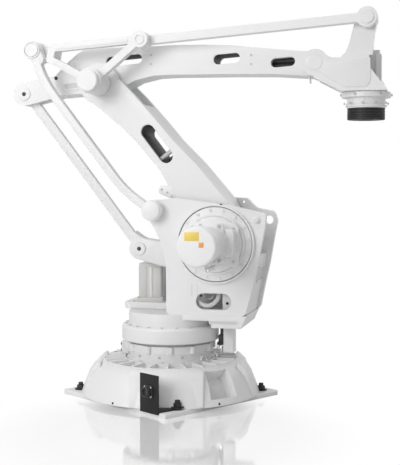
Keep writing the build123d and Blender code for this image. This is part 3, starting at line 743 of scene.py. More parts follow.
def settle(
    data: bpy.types.Mesh, name: str, body: str, paints: Paintbox, finishes: tuple[Finish, ...],
) -> bpy.types.Object:
    """Make an object of a finished mesh, shade it, dress it and let it ride.

    Args:
        data: The mesh, in the arm's frame.
        name: The object's name.
        body: The body it rides on.
        paints: The materials.
        finishes: Its finishes, the main one first.

    Returns:
        The new object.
    """
    data.polygons.foreach_set("use_smooth", [True] * len(data.polygons))
    data.set_sharp_from_angle(angle=SHARP_ANGLE)
    for finish in finishes:
        data.materials.append(paints.of(finish))
    piece = bpy.data.objects.new(name, data)
    bpy.context.scene.collection.objects.link(piece)
    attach(piece, body)
    log.info("%s rides on %s with %d faces", name, body, len(data.polygons))
    return piece


def round_points(centre: tuple[float, float], radius: float, steps: int) -> Outline:
    """Points on a circle."""
    return [(centre[0] + point.x, centre[1] + point.y) for point in polar(radius, steps)]


def slot_points(centre: tuple[float, float], length: float, width: float, steps: int = 16) -> Outline:
    """Outline of a level slot with round ends.

    Args:
        centre: Its centre.
        length: Its whole length.
        width: Its width.
        steps: Steps in each round end.

    Returns:
        The outline's points.
    """
    radius = width / 2.0
    points = []
    for end, start in ((1.0, -90.0), (-1.0, 90.0)):
        for step in range(steps + 1):
            turn = math.radians(start + 180.0 * step / steps)
            middle = centre[0] + end * (length / 2.0 - radius)
            points.append((middle + radius * math.cos(turn), centre[1] + radius * math.sin(turn)))
    return points


def pierced(outline: Outline, holes: list[Outline], depth: float, corner: float, edge: float) -> Shape:
    """Plate with holes, raised along local Z and rounded along its rims.

    Args:
        outline: Corners of the plate.
        holes: Outline of each hole.
        depth: The plate's thickness.
        corner: Cut at the outline's corners.
        edge: Width of the round along the rims.

    Returns:
        The new shape.
    """
    shape = flat(outline, corner)
    bmesh.ops.delete(shape, geom=list(shape.faces), context="FACES_ONLY")
    for hole in holes:
        verts = [shape.verts.new((x, y, 0.0)) for x, y in hole]
        for pair in zip(verts, verts[1:] + verts[:1]):
            shape.edges.new(pair)
    bmesh.ops.triangle_fill(shape, use_beauty=True, edges=list(shape.edges))
    bmesh.ops.dissolve_limit(
        shape, angle_limit=0.01, use_dissolve_boundaries=False, verts=shape.verts, edges=shape.edges,
    )
    lift(shape, depth)
    return rounded(shape, edge, 3, 50.0)


def bar(
    start: Vector, start_radius: float, end: Vector, end_radius: float, depth: float, edge: float,
) -> Shape:
    """Bar that wraps two discs of the arm's plane, raised along local Z.

    Args:
        start: Centre of the first disc, in the arm's frame.
        start_radius: Its radius.
        end: Centre of the second disc.
        end_radius: Its radius.
        depth: The bar's thickness.
        edge: Width of the round along its rims.

    Returns:
        The new shape.
    """
    shape = bmesh.new()
    for centre, radius in ((start, start_radius), (end, end_radius)):
        for height in (0.0, depth):
            place = shift(centre.x, centre.z, height)
            bmesh.ops.create_circle(shape, cap_ends=False, segments=72, radius=radius, matrix=place)
    bmesh.ops.delete(shape, geom=list(shape.edges), context="EDGES_FACES")
    hull = bmesh.ops.convex_hull(shape, input=list(shape.verts), use_existing_faces=False)
    inner = [g for g in hull["geom_interior"] if isinstance(g, bmesh.types.BMVert)]
    bmesh.ops.delete(shape, geom=inner, context="VERTS")
    bmesh.ops.dissolve_limit(
        shape, angle_limit=0.02, use_dissolve_boundaries=False, verts=shape.verts, edges=shape.edges,
    )
    return rounded(shape, edge, 3, 50.0)


def strap(path: Outline, width: float, depth: float, edge: float) -> Shape:
    """Flat strap along a path, raised along local Z.

    Args:
        path: Points along its middle line.
        width: Its width.
        depth: Its thickness.
        edge: Width of the round along its rims.

    Returns:
        The new shape.
    """
    sides: tuple[Outline, Outline] = ([], [])
    for number, (x, y) in enumerate(path):
        ahead, behind = path[min(number + 1, len(path) - 1)], path[max(number - 1, 0)]
        run = Vector((ahead[0] - behind[0], ahead[1] - behind[1])).normalized() * (width / 2.0)
        sides[0].append((x - run.y, y + run.x))
        sides[1].append((x + run.y, y - run.x))
    return pierced(sides[0] + sides[1][::-1], [], depth, 0.0, edge)


def screw_head(kind: Screw, radius: float, height: float) -> Shape:
    """Screw head standing on local Z zero.

    Args:
        kind: Kind of head.
        radius: Its outer radius.
        height: Its height.

    Returns:
        The new shape.
    """
    shape = bmesh.new()
    sides = 6 if kind is Screw.HEX else 20
    bmesh.ops.create_cone(
        shape, cap_ends=True, cap_tris=False, segments=sides, radius1=radius,
        radius2=radius * (0.72 if kind is Screw.BUTTON else 1.0), depth=height,
    )
    bmesh.ops.translate(shape, vec=(0.0, 0.0, height / 2.0), verts=shape.verts)
    top = max(shape.faces, key=lambda face: face.calc_center_median().z)
    bevel(shape, list(top.edges), 0.1 * radius, 2)
    if kind is not Screw.HEX:
        shape.faces.ensure_lookup_table()
        top = max(shape.faces, key=lambda face: (face.calc_center_median().z, face.calc_area()))
        bmesh.ops.inset_region(shape, faces=[top], thickness=0.36 * radius, depth=0.0)
        bmesh.ops.inset_region(shape, faces=[top], thickness=0.02 * radius, depth=-0.45 * height)
    return shape


def seat(place: Vector, axis: Vector, turn: float = 0.3) -> Seat:
    """Place of one screw whose head points along an axis."""
    return place, axis, turn


def ring(centre: Vector, axis: Vector, radius: float, count: int, start: float = 0.0) -> list[Seat]:
    """Places of screws on a circle round an axis.

    Args:
        centre: Centre of the circle.
        axis: Axis of the circle, which the heads point along.
        radius: Radius of the circle.
        count: Number of screws.
        start: Angle of the first, in degrees.

    Returns:
        The places.
    """
    place = facing(centre, axis)
    return [seat(place @ point, axis, point.x * 40.0) for point in polar(radius, count, start)]


def radial(height: float, points: list[Vector], middle: float = 0.0) -> list[Seat]:
    """Places of screws round an upright axis, whose heads point away from it.

    Args:
        height: Their height above the floor.
        points: Their places round the axis.
        middle: Distance of the axis from the turntable's axis.

    Returns:
        The places.
    """
    return [seat(Vector((middle + point.x, point.y, height)), point.normalized()) for point in points]


@dataclass
class Fittings:
    """Pieces that ride on one body of the arm."""

    paints: Paintbox
    body: ClassVar[str] = "turntable"

    def piece(self, name: str, *finishes: Finish, body: str = "") -> Piece:
        """Start a piece.

        Args:
            name: The piece's name.
            finishes: Its finishes, the main one first, or none for the castings' white.
            body: The body it rides on, if it isn't the usual one.

        Returns:
            The empty piece.
        """
        return Piece(name, body or self.body, self.paints, *(finishes or (CASTING_WHITE,)))

    def screws(self, name: str, fastener: Fastener, seats: list[Seat]) -> None:
        """Join screws of one size into one object.

        Args:
            name: The object's name.
            fastener: The screw's head.
            seats: Place of each screw.
        """
        piece = self.piece(name, fastener.finish)
        for place, axis, turn in seats:
            head = screw_head(fastener.kind, fastener.radius, fastener.height)
            piece.add(head, facing(place, axis, turn))
        piece.close()


def body_of(node: str) -> str:
    """Body that a CAD node rides on."""
    return frame["nodes"][node]["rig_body"]


def arm_point(joint: str, slope: float, along: float, across: float, y: float) -> Vector:
    """Point on a sloping arm.

    Args:
        joint: Joint at the arm's start.
        slope: The arm's slope at rest, in radians.
        along: Distance from the joint along the arm.
        across: Distance across it.
        y: Distance from the arm's middle plane.

    Returns:
        The point, in the arm's frame.
    """
    start = pivot(joint)
    cos, sin = math.cos(slope), math.sin(slope)
    return Vector((start.x + along * cos - across * sin, y, start.z + along * sin + across * cos))


@dataclass(frozen=True)
class Hollow:
    """A slot through an arm, whose inner walls take a near-black painted shade."""

    node: str
    start: Vector
    slope: float
    along: float
    across: float
    half_length: float
    half_width: float
    depth: float

    def holds(self, place: Vector) -> bool:
        """Say whether a place lies in the slot.

        Args:
            place: The place, in the arm's frame.

        Returns:
            Whether it lies between the slot's ends, sides and depths.
        """
        run = place - self.start
        cos, sin = math.cos(self.slope), math.sin(self.slope)
        along = run.x * cos + run.z * sin - self.along
        across = run.z * cos - run.x * sin - self.across
        inside = abs(along) < self.half_length and abs(across) < self.half_width
        return inside and abs(place.y) < self.depth


def arm_hollows() -> tuple[Hollow, ...]:
    """Slots of the lower and the upper arm.

    Returns:
        One hollow for each slot.
    """
    shoulder, elbow = pivot("lower_arm_swing"), pivot("upper_arm_swing")
    lower = math.atan2(elbow.z - shoulder.z, elbow.x - shoulder.x)
    reach = pivot("tilt_swing") - elbow
    upper = math.atan2(reach.z, reach.x)
    found = [Hollow(
        "lower_arm", shoulder, lower, along=0.545, across=-0.050, half_length=0.109, half_width=0.037, depth=0.106,
    )]
    for middle_share, across, length_share, half_width in UPPER_SLOTS:
        found.append(Hollow(
            "upper_arm", elbow, upper, along=middle_share * reach.length, across=across,
            half_length=length_share * reach.length / 2.0 + 0.004, half_width=half_width, depth=0.069,
        ))
    return tuple(found)


@dataclass
class SoftCastings:
    """CAD nodes carried over with rounded edges and the arm's paint, and painted shade on the walls inside the
    arms' slots.
    """

    paints: Paintbox
    edge: float = 0.004
    segments: int = 3
    angle: float = 34.0
    weld: float = 2e-5
    flat: float = 0.6
    edges: dict[str, float] = field(default_factory=dict)
    finishes: dict[str, Finish] = field(default_factory=dict)
    skipped: tuple[str, ...] = ()
    hollows: tuple[Hollow, ...] = ()

    def paint_hollow_shade(self, shape: Shape, hollow: Hollow) -> None:
        """Paint shade on the walls inside a hollow by giving them the second finish.

        Args:
            shape: The node's welded copy.
            hollow: The hollow whose walls take the painted shade.
        """
        for y in (-hollow.depth, hollow.depth):
            bmesh.ops.bisect_plane(
                shape, geom=[*shape.verts, *shape.edges, *shape.faces], dist=WELD,
                plane_co=(0.0, y, 0.0), plane_no=(0.0, 1.0, 0.0),
            )
        for face in shape.faces:
            if hollow.holds(face.calc_center_median()):
                face.material_index = 1

    def build(self) -> None:
        """Carry over every node that no other class replaces."""
        for name, node in frame["nodes"].items():
            if name not in self.skipped:
                self.carry(name, node)

    def carry(self, name: str, node: bpy.types.Object) -> None:
        """Copy one node, weld it, round its edges and let the copy stand for it.

        Args:
            name: The node's name.
            node: The node's object.
        """
        shape = bmesh.new()
        shape.from_mesh(node.data)
        bmesh.ops.remove_doubles(shape, verts=shape.verts, dist=self.weld)
        bmesh.ops.dissolve_limit(
            shape, angle_limit=math.radians(self.flat), use_dissolve_boundaries=False,
            verts=shape.verts, edges=shape.edges,
        )
        finishes = [self.finishes.get(name, CASTING_WHITE)]
        # Walls inside each slot of this node take the near-black painted shade.
        for hollow in self.hollows:
            if hollow.node == name:
                self.paint_hollow_shade(shape, hollow)
                finishes = [finishes[0], PAINTED_SHADE_INSIDE]
        data = bpy.data.meshes.new(name + "_skin")
        shape.to_mesh(data)
        shape.free()
        skin = settle(data, name + "_skin", node["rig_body"], self.paints, tuple(finishes))
        soften = skin.modifiers.new("edges", "BEVEL")
        soften.width = self.edges.get(name, self.edge)
        soften.segments = self.segments
        soften.limit_method = "ANGLE"
        soften.angle_limit = math.radians(self.angle)
        soften.use_clamp_overlap = True
        soften.harden_normals = True
        soften.miter_outer = "MITER_ARC"
        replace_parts(skin, name)


def hoop(inner: float, outer: float, width: float, steps: int = 64) -> Shape:
    """Flat ring with a soft rim, standing on local Z zero.

    Args:
        inner: Its inner radius.
        outer: Its outer radius.
        width: Its height along local Z.
        steps: Steps in the full turn.

    Returns:
        The new shape.
    """
    soft = 0.25 * min(width, outer - inner)
    profile = [
        (inner, 0.0), (outer, 0.0), (outer, width - soft), (outer - soft, width), (inner + soft, width),
        (inner, width - soft), (inner, 0.0),
    ]
    return turned(profile, steps)


def lid(radius: float, height: float, soft: float, steps: int = 64) -> Shape:
    """Round lid with a soft rim, standing on local Z zero.

    Args:
        radius: Its radius.
        height: Its height.
        soft: Width of the soft rim.
        steps: Steps in the full turn.

    Returns:
        The new shape.
    """
    profile = [
        (0.0, 0.0), (radius, 0.0), (radius, height - soft), (radius - 0.3 * soft, height - 0.3 * soft),
        (radius - soft, height), (0.0, height),
    ]
    return turned(profile, steps)


def bent_tube(points: list[Vector], radius: float, sides: int = 16, steps: int = 8) -> Shape:
    """Tube swept along a smooth path through some points.

    Args:
        points: Places that the path is drawn through.
        radius: The tube's radius.
        sides: Sides round the tube.
        steps: Steps along each stretch.

    Returns:
        The new shape, in the points' own frame.
    """
    path: list[Vector] = []
    for first, second, third in zip(points, points[1:], points[2:]):
        start = (first + second) / 2.0 if first is not points[0] else first
        end = (second + third) / 2.0 if third is not points[-1] else third
        for step in range(steps):
            share = step / steps
            path.append(start * (1.0 - share) ** 2 + second * 2.0 * share * (1.0 - share) + end * share ** 2)
    path.append(points[-1])
    shape = bmesh.new()
    loops = []
    for number, place in enumerate(path):
        ahead = path[min(number + 1, len(path) - 1)] - path[max(number - 1, 0)]
        across = ahead.cross(Vector((0.13, 0.97, 0.21))).normalized()
        axes = Matrix((across, ahead.normalized().cross(across), ahead.normalized())).transposed().to_4x4()
        circle = bmesh.ops.create_circle(
            shape, cap_ends=False, segments=sides, radius=radius, matrix=Matrix.Translation(place) @ axes,
        )
        loops.append(list({edge for vert in circle["verts"] for edge in vert.link_edges}))
    for near_loop, far_loop in zip(loops, loops[1:]):
        bmesh.ops.bridge_loops(shape, edges=near_loop + far_loop)
    bmesh.ops.holes_fill(shape, edges=[edge for edge in shape.edges if edge.is_boundary], sides=sides)
    return shape


def share_points(shares: Shares, start: Vector, length: float, height: float) -> Outline:
    """Outline about a place of the arm's plane, from shares of a length and a height.

    Args:
        shares: The shares, in order.
        start: The place that they start from.
        length: Length that the first shares follow.
        height: Height that the second shares follow.

    Returns:
        The outline's points in X and Z.
    """
    return [(start.x + a * length, start.z + b * height) for a, b in shares]


@dataclass
class BaseBody(Fittings):
    """Square plate and spoked round casting, which stand for their CAD solids."""

    body: ClassVar[str] = "base"
    plate_side: float = 0.740
    rib_count: int = 24
    rib_inner: float = 0.228
    rib_outer: float = 0.318
    rib_top: float = 0.190
    rib_depth: float = 0.030
    rib_width: float = 0.013
    crown_inner: float = 0.217
    crown_floor: float = 0.168
    buttress_width: float = 0.336
    niche_angles: tuple[float, float] = (-51.0, -27.5)
    niche_heights: tuple[float, float] = (0.041, 0.170)
    niche_reach: float = 0.35
    niche_depth: float = 0.060
    niche_rim: float = 0.012
    niche_draft: float = 0.004
    plate_corner: float = 0.014
    plate_edge: float = 0.005
    rib_edge: float = 0.003
    buttress_edge: float = 0.008
    flank: Points = (
        (0.428, PLATE_TOP), (0.422, 0.041), (0.404, 0.087), (0.391, 0.121), (0.372, 0.150), (0.345, 0.176),
        (0.318, 0.1845),
    )
    buttress: Points = ((0.318, 0.022), (0.405, 0.022), (0.365, 0.150), (0.333, 0.181), (0.318, 0.185))

    def build(self) -> None:
        """Build the plate and the casting."""
        half = self.plate_side / 2.0
        plate = self.piece("base_plate_body")
        square = prism(rectangle(half, half), PLATE_TOP, self.plate_corner, self.plate_edge)
        plate.add(square, spun(BASE_TURN))
        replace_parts(plate.close(), "base_plate")
        casting = self.piece("base_casting_body")
        casting.add(self.spoked(), Matrix.Identity(4))
        rib = (self.rib_outer - self.rib_inner + 0.004, self.rib_width, self.rib_depth - 0.0005)
        for point in polar((self.rib_inner + self.rib_outer) / 2.0, self.rib_count, BASE_TURN):
            turn = Matrix.Rotation(math.atan2(point.y, point.x), 4, "Z")
            place = shift(point.x, point.y, self.rib_top - self.rib_depth)
            casting.add(block(rib, self.rib_edge), place @ turn)
        for corner in range(4):
            place = spun(BASE_TURN + 45.0 + 90.0 * corner) @ stand(self.buttress_width / 2.0)
            casting.add(pierced(list(self.buttress), [], self.buttress_width, 0.0, self.buttress_edge), place)
        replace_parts(casting.close(), "base_casting")

    def spoked(self) -> Shape:
        """Turned body with a niche pressed into two of its sides.

        Returns:
            The new shape.
        """
        floor = self.rib_top - self.rib_depth
        shape = turned([
            (0.0, PLATE_TOP), *self.flank, (self.rib_outer, floor), (self.rib_inner, floor),
            (self.rib_inner, self.rib_top), (self.crown_inner, self.rib_top),
            (self.crown_inner, self.crown_floor), (0.0, self.crown_floor),
        ], 120)
        bmesh.ops.remove_doubles(shape, verts=shape.verts, dist=WELD)
        bmesh.ops.recalc_face_normals(shape, faces=shape.faces)
        for half_turn in (0.0, 180.0):
            pressed = [face for face in shape.faces if self.in_niche(face.calc_center_median(), half_turn)]
            for inset, depth in ((self.niche_rim, 0.0), (self.niche_draft, -self.niche_depth)):
                bmesh.ops.inset_region(
                    shape, faces=pressed, thickness=inset, depth=depth, use_even_offset=True,
                )
        return shape

    def in_niche(self, place: Vector, half_turn: float) -> bool:
        """Say whether a place of the casting's flank lies in a niche.

        Args:
            place: The place.
            half_turn: Turn of the niche from the first one, in degrees.

        Returns:
            Whether it does.
        """
        angle = (math.degrees(math.atan2(place.y, place.x)) + half_turn + 180.0) % 360.0 - 180.0
        beside_it = self.niche_angles[0] < angle < self.niche_angles[1]
        level = self.niche_heights[0] < place.z < self.niche_heights[1]
        return beside_it and level and place.xy.length > self.niche_reach


@dataclass
class FrameShell(Fittings):
    """Near wall, skirt and pin lid of the turning frame, which stand for their CAD solids."""

    reach: float = 0.232
    height: float = 0.210
    drop: float = 0.3305
    inner: float = 0.135
    rim_radius: float = 0.174
    rim_width: float = 0.009
    rim_height: float = 0.018
    rod_pin: tuple[float, float, float] = (-0.2929, 0.0, 0.1527)
    pin_lid: Size = (0.048, 0.0445, 0.004)
    pin_lid_seat: float = 0.136
    pin_head: Size = (0.041, 0.0065, 0.002)
    pin_head_seat: float = 0.2262
    boss: Size = (0.017, 0.008, 0.002)
    boss_along: float = 0.189
    boss_rise: float = 0.1125
    window_back: float = 0.010
    window_drop: float = 0.2655
    window: Size = (0.167, 0.076)
    wall_corner: float = 0.022
    wall_edge: float = 0.006
    skirt_edge: float = 0.004
    top_shares: Shares = (
        (-1.422, 0.597), (-1.22, 0.955), (-0.806, 1.0), (-0.056, 0.898), (0.353, 0.831), (0.866, 0.702),
        (1.0, 0.674), (0.991, 0.426),
    )
    low_shares: Shares = (
        (0.871, -0.165), (0.793, -0.425), (0.681, -0.758), (0.586, -1.0), (-1.013, -1.0), (-1.013, -0.65),
        (-1.022, -0.271), (-1.108, -0.011), (-1.25, 0.20),
    )
    skirt: Points = (
        (0.048, 0.4122), (0.404, 0.4122), (0.379, 0.354), (0.238, 0.354), (0.238, 0.386), (0.048, 0.386),
    )

    def build(self) -> None:
        """Build the wall and the skirt."""
        shoulder = pivot("lower_arm_swing")
        rod_pin = shoulder + Vector(self.rod_pin)
        wall = self.piece("near_wall_body")
        outline = share_points(self.top_shares, shoulder, self.reach, self.height)
        outline += share_points(self.low_shares, shoulder, self.reach, self.drop)
        holes = [
            round_points((shoulder.x, shoulder.z), self.rim_radius, 96),
            slot_points((shoulder.x - self.window_back, shoulder.z - self.window_drop), *self.window),
        ]
        depth = WALL_FACE - self.inner
        wall.add(pierced(outline, holes, depth, self.wall_corner, self.wall_edge), stand(-self.inner))
        rim = hoop(self.rim_radius, self.rim_radius + self.rim_width, self.rim_height, 96)
        wall.add(rim, on_side(shoulder, -WALL_FACE))
        wall.add(lid(*self.pin_lid), on_side(rod_pin, -self.pin_lid_seat))
        boss = shoulder + Vector((self.boss_along, -WALL_FACE, self.boss_rise))
        wall.add(lid(*self.boss, 40), facing(boss, NEAR))
        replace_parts(wall.close(), "near_wall")
        skirt = self.piece("frame_skirt_body")
        shape = pierced(list(self.skirt), [], 2.0 * WALL_FACE, self.skirt_edge, self.skirt_edge)
        skirt.add(shape, stand(WALL_FACE))
        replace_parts(skirt.close(), "frame_skirt")
        head = self.piece("rod_pin_lid", ROD_WHITE)
        head.add(lid(*self.pin_head), on_side(rod_pin, -self.pin_head_seat))
        head.close()


@dataclass
class SideDrives(Fittings):
    """Gear covers, adapters, motors and caps of both sides, which stand for their CAD solids."""

    rise: float = 0.012
    cover_seat: float = 0.1535
    rim_face: float = 0.185
    cover_face: float = 0.214
    plate_face: float = 0.226
    adapter_face: float = 0.284
    motor_face: float = 0.479
    cap_face: float = 0.555
    cover_radius: float = 0.171
    boss_radius: float = 0.128
    motor_radius: float = 0.074
    cap_radius: float = 0.087
    adapter: Size = (0.108, 0.061)
    flange: Size = (0.064, 0.092)
    flange_height: float = 0.014
    boss_hoop_radius: float = 0.1415
    boss_hoop_height: float = 0.012
    foot_hoop: Size = (0.07, 0.0795, 0.022)
    back_hoop: Size = (0.07, 0.0765, 0.010)
    back_hoop_gap: float = 0.016
    cover_ring: float = 0.157
    flange_bolts: Size = (0.043, 0.078)
    plug_reaches: Size = (0.38, 0.45)
    plug_box: tuple[float, float, float] = (0.046, 0.040, 0.020)
    plug_barrel: Size = (0.0145, 0.030, 0.002)
    plug_nut: Size = (0.011, 0.0165, 0.010)
    patch_depth: float = 0.0009
    plate_height: float = 0.013
    plate_corner: float = 0.034
    plate: Points = ((-0.118, -0.098), (0.118, -0.098), (0.118, 0.092), (0.07, 0.105), (-0.118, 0.105))
    patches: tuple[tuple[float, float, float, float], ...] = (
        (-0.019, 0.044, 0.064, 0.037), (0.022, 0.008, 0.021, 0.022),
    )
    plate_screws: Points = ((-0.095, -0.075), (0.095, -0.075), (0.095, 0.075), (-0.095, 0.082), (0.0, 0.086))

    def build(self) -> None:
        """Build both drives."""
        shoulder = pivot("lower_arm_swing")
        axis = shoulder + UP * self.rise
        for side, out in SIDES:
            self.build_cover(side, out, shoulder)
            self.build_adapter(side, out, axis)
            self.build_motor(side, out, axis)
            self.build_cap(side, out, axis)
        patches = self.piece("cap_patches", PATCH_YELLOW, PATCH_ORANGE)
        for finish, (x, z, width, height) in enumerate(self.patches):
            place = shift(axis.x + x, 0.0001 - self.cap_face, axis.z + z) @ STAND_UP
            patches.add(block((width, height, self.patch_depth), self.patch_depth / 3.0, 2), place, finish)
        patches.close()

    def build_cover(self, side: str, out: Vector, shoulder: Vector) -> None:
        """Gearbox cover with its raised plate and screws.

        Args:
            side: Which side it is on.
            out: Direction away from the arm.
            shoulder: Middle of the cover.
        """
        cover = self.piece(side + "_cover_body")
        foot = on_side(shoulder, out.y * self.cover_seat, out)
        cover.add(lid(self.cover_radius, self.rim_face - self.cover_seat, 0.003, 96), foot)
        cover.add(lid(self.boss_radius, self.cover_face - self.cover_seat, 0.005, 96), foot)
        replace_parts(cover.close(), side + "_gear_cover")
        face = along_y(shoulder, out.y * self.rim_face)
        self.screws(side + "_cover_screws", COVER_SCREW, ring(face, out, self.cover_ring, 16, 8.0))
        plate = self.piece(side + "_cover_plate")
        outline = [(-out.y * x, -out.y * z) for x, z in self.plate]
        foot = beside(along_y(shoulder, out.y * (self.cover_face - 0.001)), out)
        plate.add(prism(outline, self.plate_height, self.plate_corner, 0.004), foot)
        plate.add(hoop(self.boss_radius, self.boss_hoop_radius, self.boss_hoop_height, 96), facing(face, out))
        plate.close()
        middle = along_y(shoulder, out.y * self.plate_face)
        self.screws(side + "_plate_screws", PLATE_SCREW, [
            seat(middle + Vector((x, 0.0, z)), out) for x, z in self.plate_screws
        ])

    def build_adapter(self, side: str, out: Vector, axis: Vector) -> None:
        """Adapter and clamping flange with its four screws.

        Args:
            side: Which side they are on.
            out: Direction away from the arm.
            axis: Middle of the motor.
        """
        adapter = self.piece(side + "_adapter_body")
        shape = prism(rectangle(*self.adapter), self.adapter_face - self.cover_face, 0.020, 0.005)
        adapter.add(shape, beside(along_y(axis, out.y * self.cover_face), out))
        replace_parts(adapter.close(), side + "_motor_adapter")
        flange = self.piece(side + "_motor_flange")
        face = along_y(axis, out.y * self.adapter_face)
        flange.add(prism(rectangle(*self.flange), self.flange_height, 0.022, 0.003), beside(face, out))
        flange.add(hoop(*self.foot_hoop, 72), facing(face, out))
        back = out.y * (self.motor_face - self.back_hoop_gap)
        flange.add(hoop(*self.back_hoop, 72), on_side(axis, back, out))
        flange.close()
        middle = along_y(axis, out.y * (self.adapter_face + self.flange_height))
        self.screws(side + "_flange_screws", FLANGE_SCREW, [
            seat(middle + Vector((x, 0.0, z)), out) for x, z in rectangle(*self.flange_bolts)
        ])

    def build_motor(self, side: str, out: Vector, axis: Vector) -> None:
        """Motor with two cable sockets on its underside.

        Args:
            side: Which side it is on.
            out: Direction away from the arm.
            axis: Middle of the motor.
        """
        motor = self.piece(side + "_motor_body", MOTOR_WHITE)
        length = self.motor_face - self.adapter_face + 0.004
        motor.add(lid(self.motor_radius, length, 0.002, 72), on_side(axis, out.y * self.adapter_face, out))
        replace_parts(motor.close(), side + "_motor")
        low = Vector((0.30, 0.0, -1.0)).normalized()
        sockets = self.piece(side + "_motor_plugs", MOTOR_GREY, BARE_STEEL)
        for reach in self.plug_reaches:
            root = along_y(axis, out.y * reach) + low * (self.motor_radius - 0.006)
            top = self.plug_box[2]
            sockets.add(block(self.plug_box, 0.004), facing(root, low))
            sockets.add(lid(*self.plug_barrel, 32), facing(root + low * top, low), 1)
            sockets.add(hoop(*self.plug_nut, 32), facing(root + low * (top + 0.008), low))
        sockets.close()

    def build_cap(self, side: str, out: Vector, axis: Vector) -> None:
        """End cap with its seam hoop and screws.

        Args:
            side: Which side it is on.
            out: Direction away from the arm.
            axis: Middle of the motor.
        """
        cap = self.piece(side + "_cap_body", CAP_PLASTIC)
        back, rim = self.cap_face - self.motor_face, self.cap_radius
        cap.add(turned([
            (0.0, 0.0), (rim - 0.002, 0.0), (rim, 0.002), (rim, back - 0.008), (rim - 0.002, back - 0.0045),
            (rim - 0.007, back - 0.0006), (rim - 0.011, back), (0.0, back),
        ], 96), on_side(axis, out.y * self.motor_face, out))
        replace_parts(cap.close(), side + "_motor_cap")
        seam = self.piece(side + "_cap_seam", CAP_PLASTIC)
        seam.add(hoop(0.08, rim + 0.0012, 0.010, 72), on_side(axis, out.y * (self.motor_face + 0.008), out))
        seam.close()
        middle = along_y(axis, out.y * (self.cap_face - 0.028))
        turns = [math.radians(turn) for turn in (30.0, 150.0, 270.0)]
        spokes = [Vector((math.cos(turn), 0.0, math.sin(turn))) for turn in turns]
        self.screws(side + "_cap_screws", CAP_SCREW, [
            seat(middle + spoke * (rim - 0.0004), spoke) for spoke in spokes
        ])


@dataclass
class LinkageBodies(Fittings):
    """Bent crank and bowed lower rod, which stand for their CAD solids, and black discs of painted shade in the
    pins' centre holes.
    """

    crank_end: tuple[float, float, float] = (-0.4049, 0.0, -0.0362)
    crank_bend: tuple[float, float, float] = (-0.2753, 0.0, -0.0625)
    half: float = 0.038
    gap: float = 0.017
    step: float = 0.0006
    arm: float = 0.945
    bow_share: float = 0.052
    bow_start_share: float = 0.159
    bow_end_share: float = 0.836
    bow_round: float = 0.080
    bow_steps: int = 12
    hub_radius: float = 0.112
    shaft_radius: float = 0.084
    bend_radius: float = 0.060
    end_radius: float = 0.052
    crank_cap: Size = (0.038, 0.1153, 0.002)
    rod_depth: float = 0.0445
    rod_width: float = 0.037
    rod_face: float = 0.181
    low_eye: float = 0.047
    top_eye: float = 0.042
    neck: float = 0.056
    neck_radius: float = 0.024
    neck_top: float = 0.036
    dot: Size = (0.0098, 0.0012, 0.0004)
    horn_shares: Shares = (
        (-0.081, 0.210), (0.012, 0.143), (0.094, 0.109), (0.185, 0.094), (0.257, 0.082), (0.257, 0.0),
        (-0.111, 0.049),
    )

    def build(self) -> None:
        """Build the crank, the rod and the painted shade of the pins' centre holes."""
        self.crank()
        self.rod()
        self.pin_hole_shades()

    def crank(self) -> None:
        """Crank with a bend under its arm and a fork round the parallel rod."""
        shoulder = pivot("crank_swing")
        end, bend = shoulder + Vector(self.crank_end), shoulder + Vector(self.crank_bend)
        crank = self.piece("crank_body", body=body_of("crank"))
        crank.add(lid(self.hub_radius, 2.0 * self.half + self.step, 0.004), on_side(shoulder, self.half))
        shaft = bar(shoulder, self.shaft_radius, bend, self.bend_radius, 2.0 * self.half, 0.008)
        crank.add(shaft, stand(self.half))
        size = -self.crank_end[0]
        outline = share_points(self.horn_shares, end, size, size)
        cheek = self.half - self.gap
        for far_face in (self.half - self.step, -self.gap):
            tine = bar(bend, self.bend_radius, end, self.end_radius, cheek - self.step, 0.006)
            crank.add(tine, stand(far_face))
            horn = pierced(outline, [], cheek - 3.0 * self.step, 0.006, 0.004)
            crank.add(horn, stand(far_face - self.step))
        crank.add(lid(*self.crank_cap, 48), on_side(shoulder, -self.half))
        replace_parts(crank.close(), "crank")

    def rod(self) -> None:
        """Lower rod bowed away from the arm, with its two eyes."""
        low = pivot("lower_rod_swing")
        run = (pivot("upper_arm_swing") - pivot("lower_arm_swing")).normalized()
        bow = Vector((-run.z, 0.0, run.x)) * self.bow_share * self.arm
        corners = [
            low, low + run * self.bow_start_share * self.arm + bow,
            low + run * self.bow_end_share * self.arm + bow, low + run * self.arm,
        ]
        path = [(low.x, low.z)]
        for before, corner, after in zip(corners, corners[1:], corners[2:]):
            start = corner + (before - corner).normalized() * self.bow_round
            end = corner + (after - corner).normalized() * self.bow_round
            for step in range(self.bow_steps + 1):
                share = step / self.bow_steps
                spot = start.lerp(corner, share).lerp(corner.lerp(end, share), share)
                path.append((spot.x, spot.z))
        top = corners[-1]
        path.append((top.x, top.z))
        rod = self.piece("lower_rod_body", ROD_WHITE, body=body_of("lower_link_rod"))
        rod.add(strap(path, self.rod_width, self.rod_depth, 0.004), stand(-self.rod_face - 0.00025))
        for place, radius in ((low, self.low_eye), (top, self.top_eye)):
            rod.add(lid(radius, self.rod_depth + 0.0005, 0.004), on_side(place, -self.rod_face))
        start, depth = top - run * self.neck, self.rod_depth - 0.0001
        neck = bar(start, self.neck_radius, top, self.neck_top, depth, 0.004)
        rod.add(neck, stand(-self.rod_face - 0.0003))
        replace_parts(rod.close(), "lower_link_rod")

    def pin_hole_shades(self) -> None:
        """Black discs of painted shade in the centre holes of the crank's pin and the tail's pin."""
        offset = Vector(self.crank_end)
        for name, joint, y in (
            ("crank_pin", "crank_swing", -0.0433), ("parallel_rod_pin", "upper_arm_swing", -0.0603),
        ):
            # A flat black disc stands in for the shade inside the pin's centre hole.
            dot = self.piece(name + "_centre", BLACK_PLASTIC, body=body_of(name))
            dot.add(lid(*self.dot, 32), on_side(pivot(joint) + offset, y))
            dot.close()


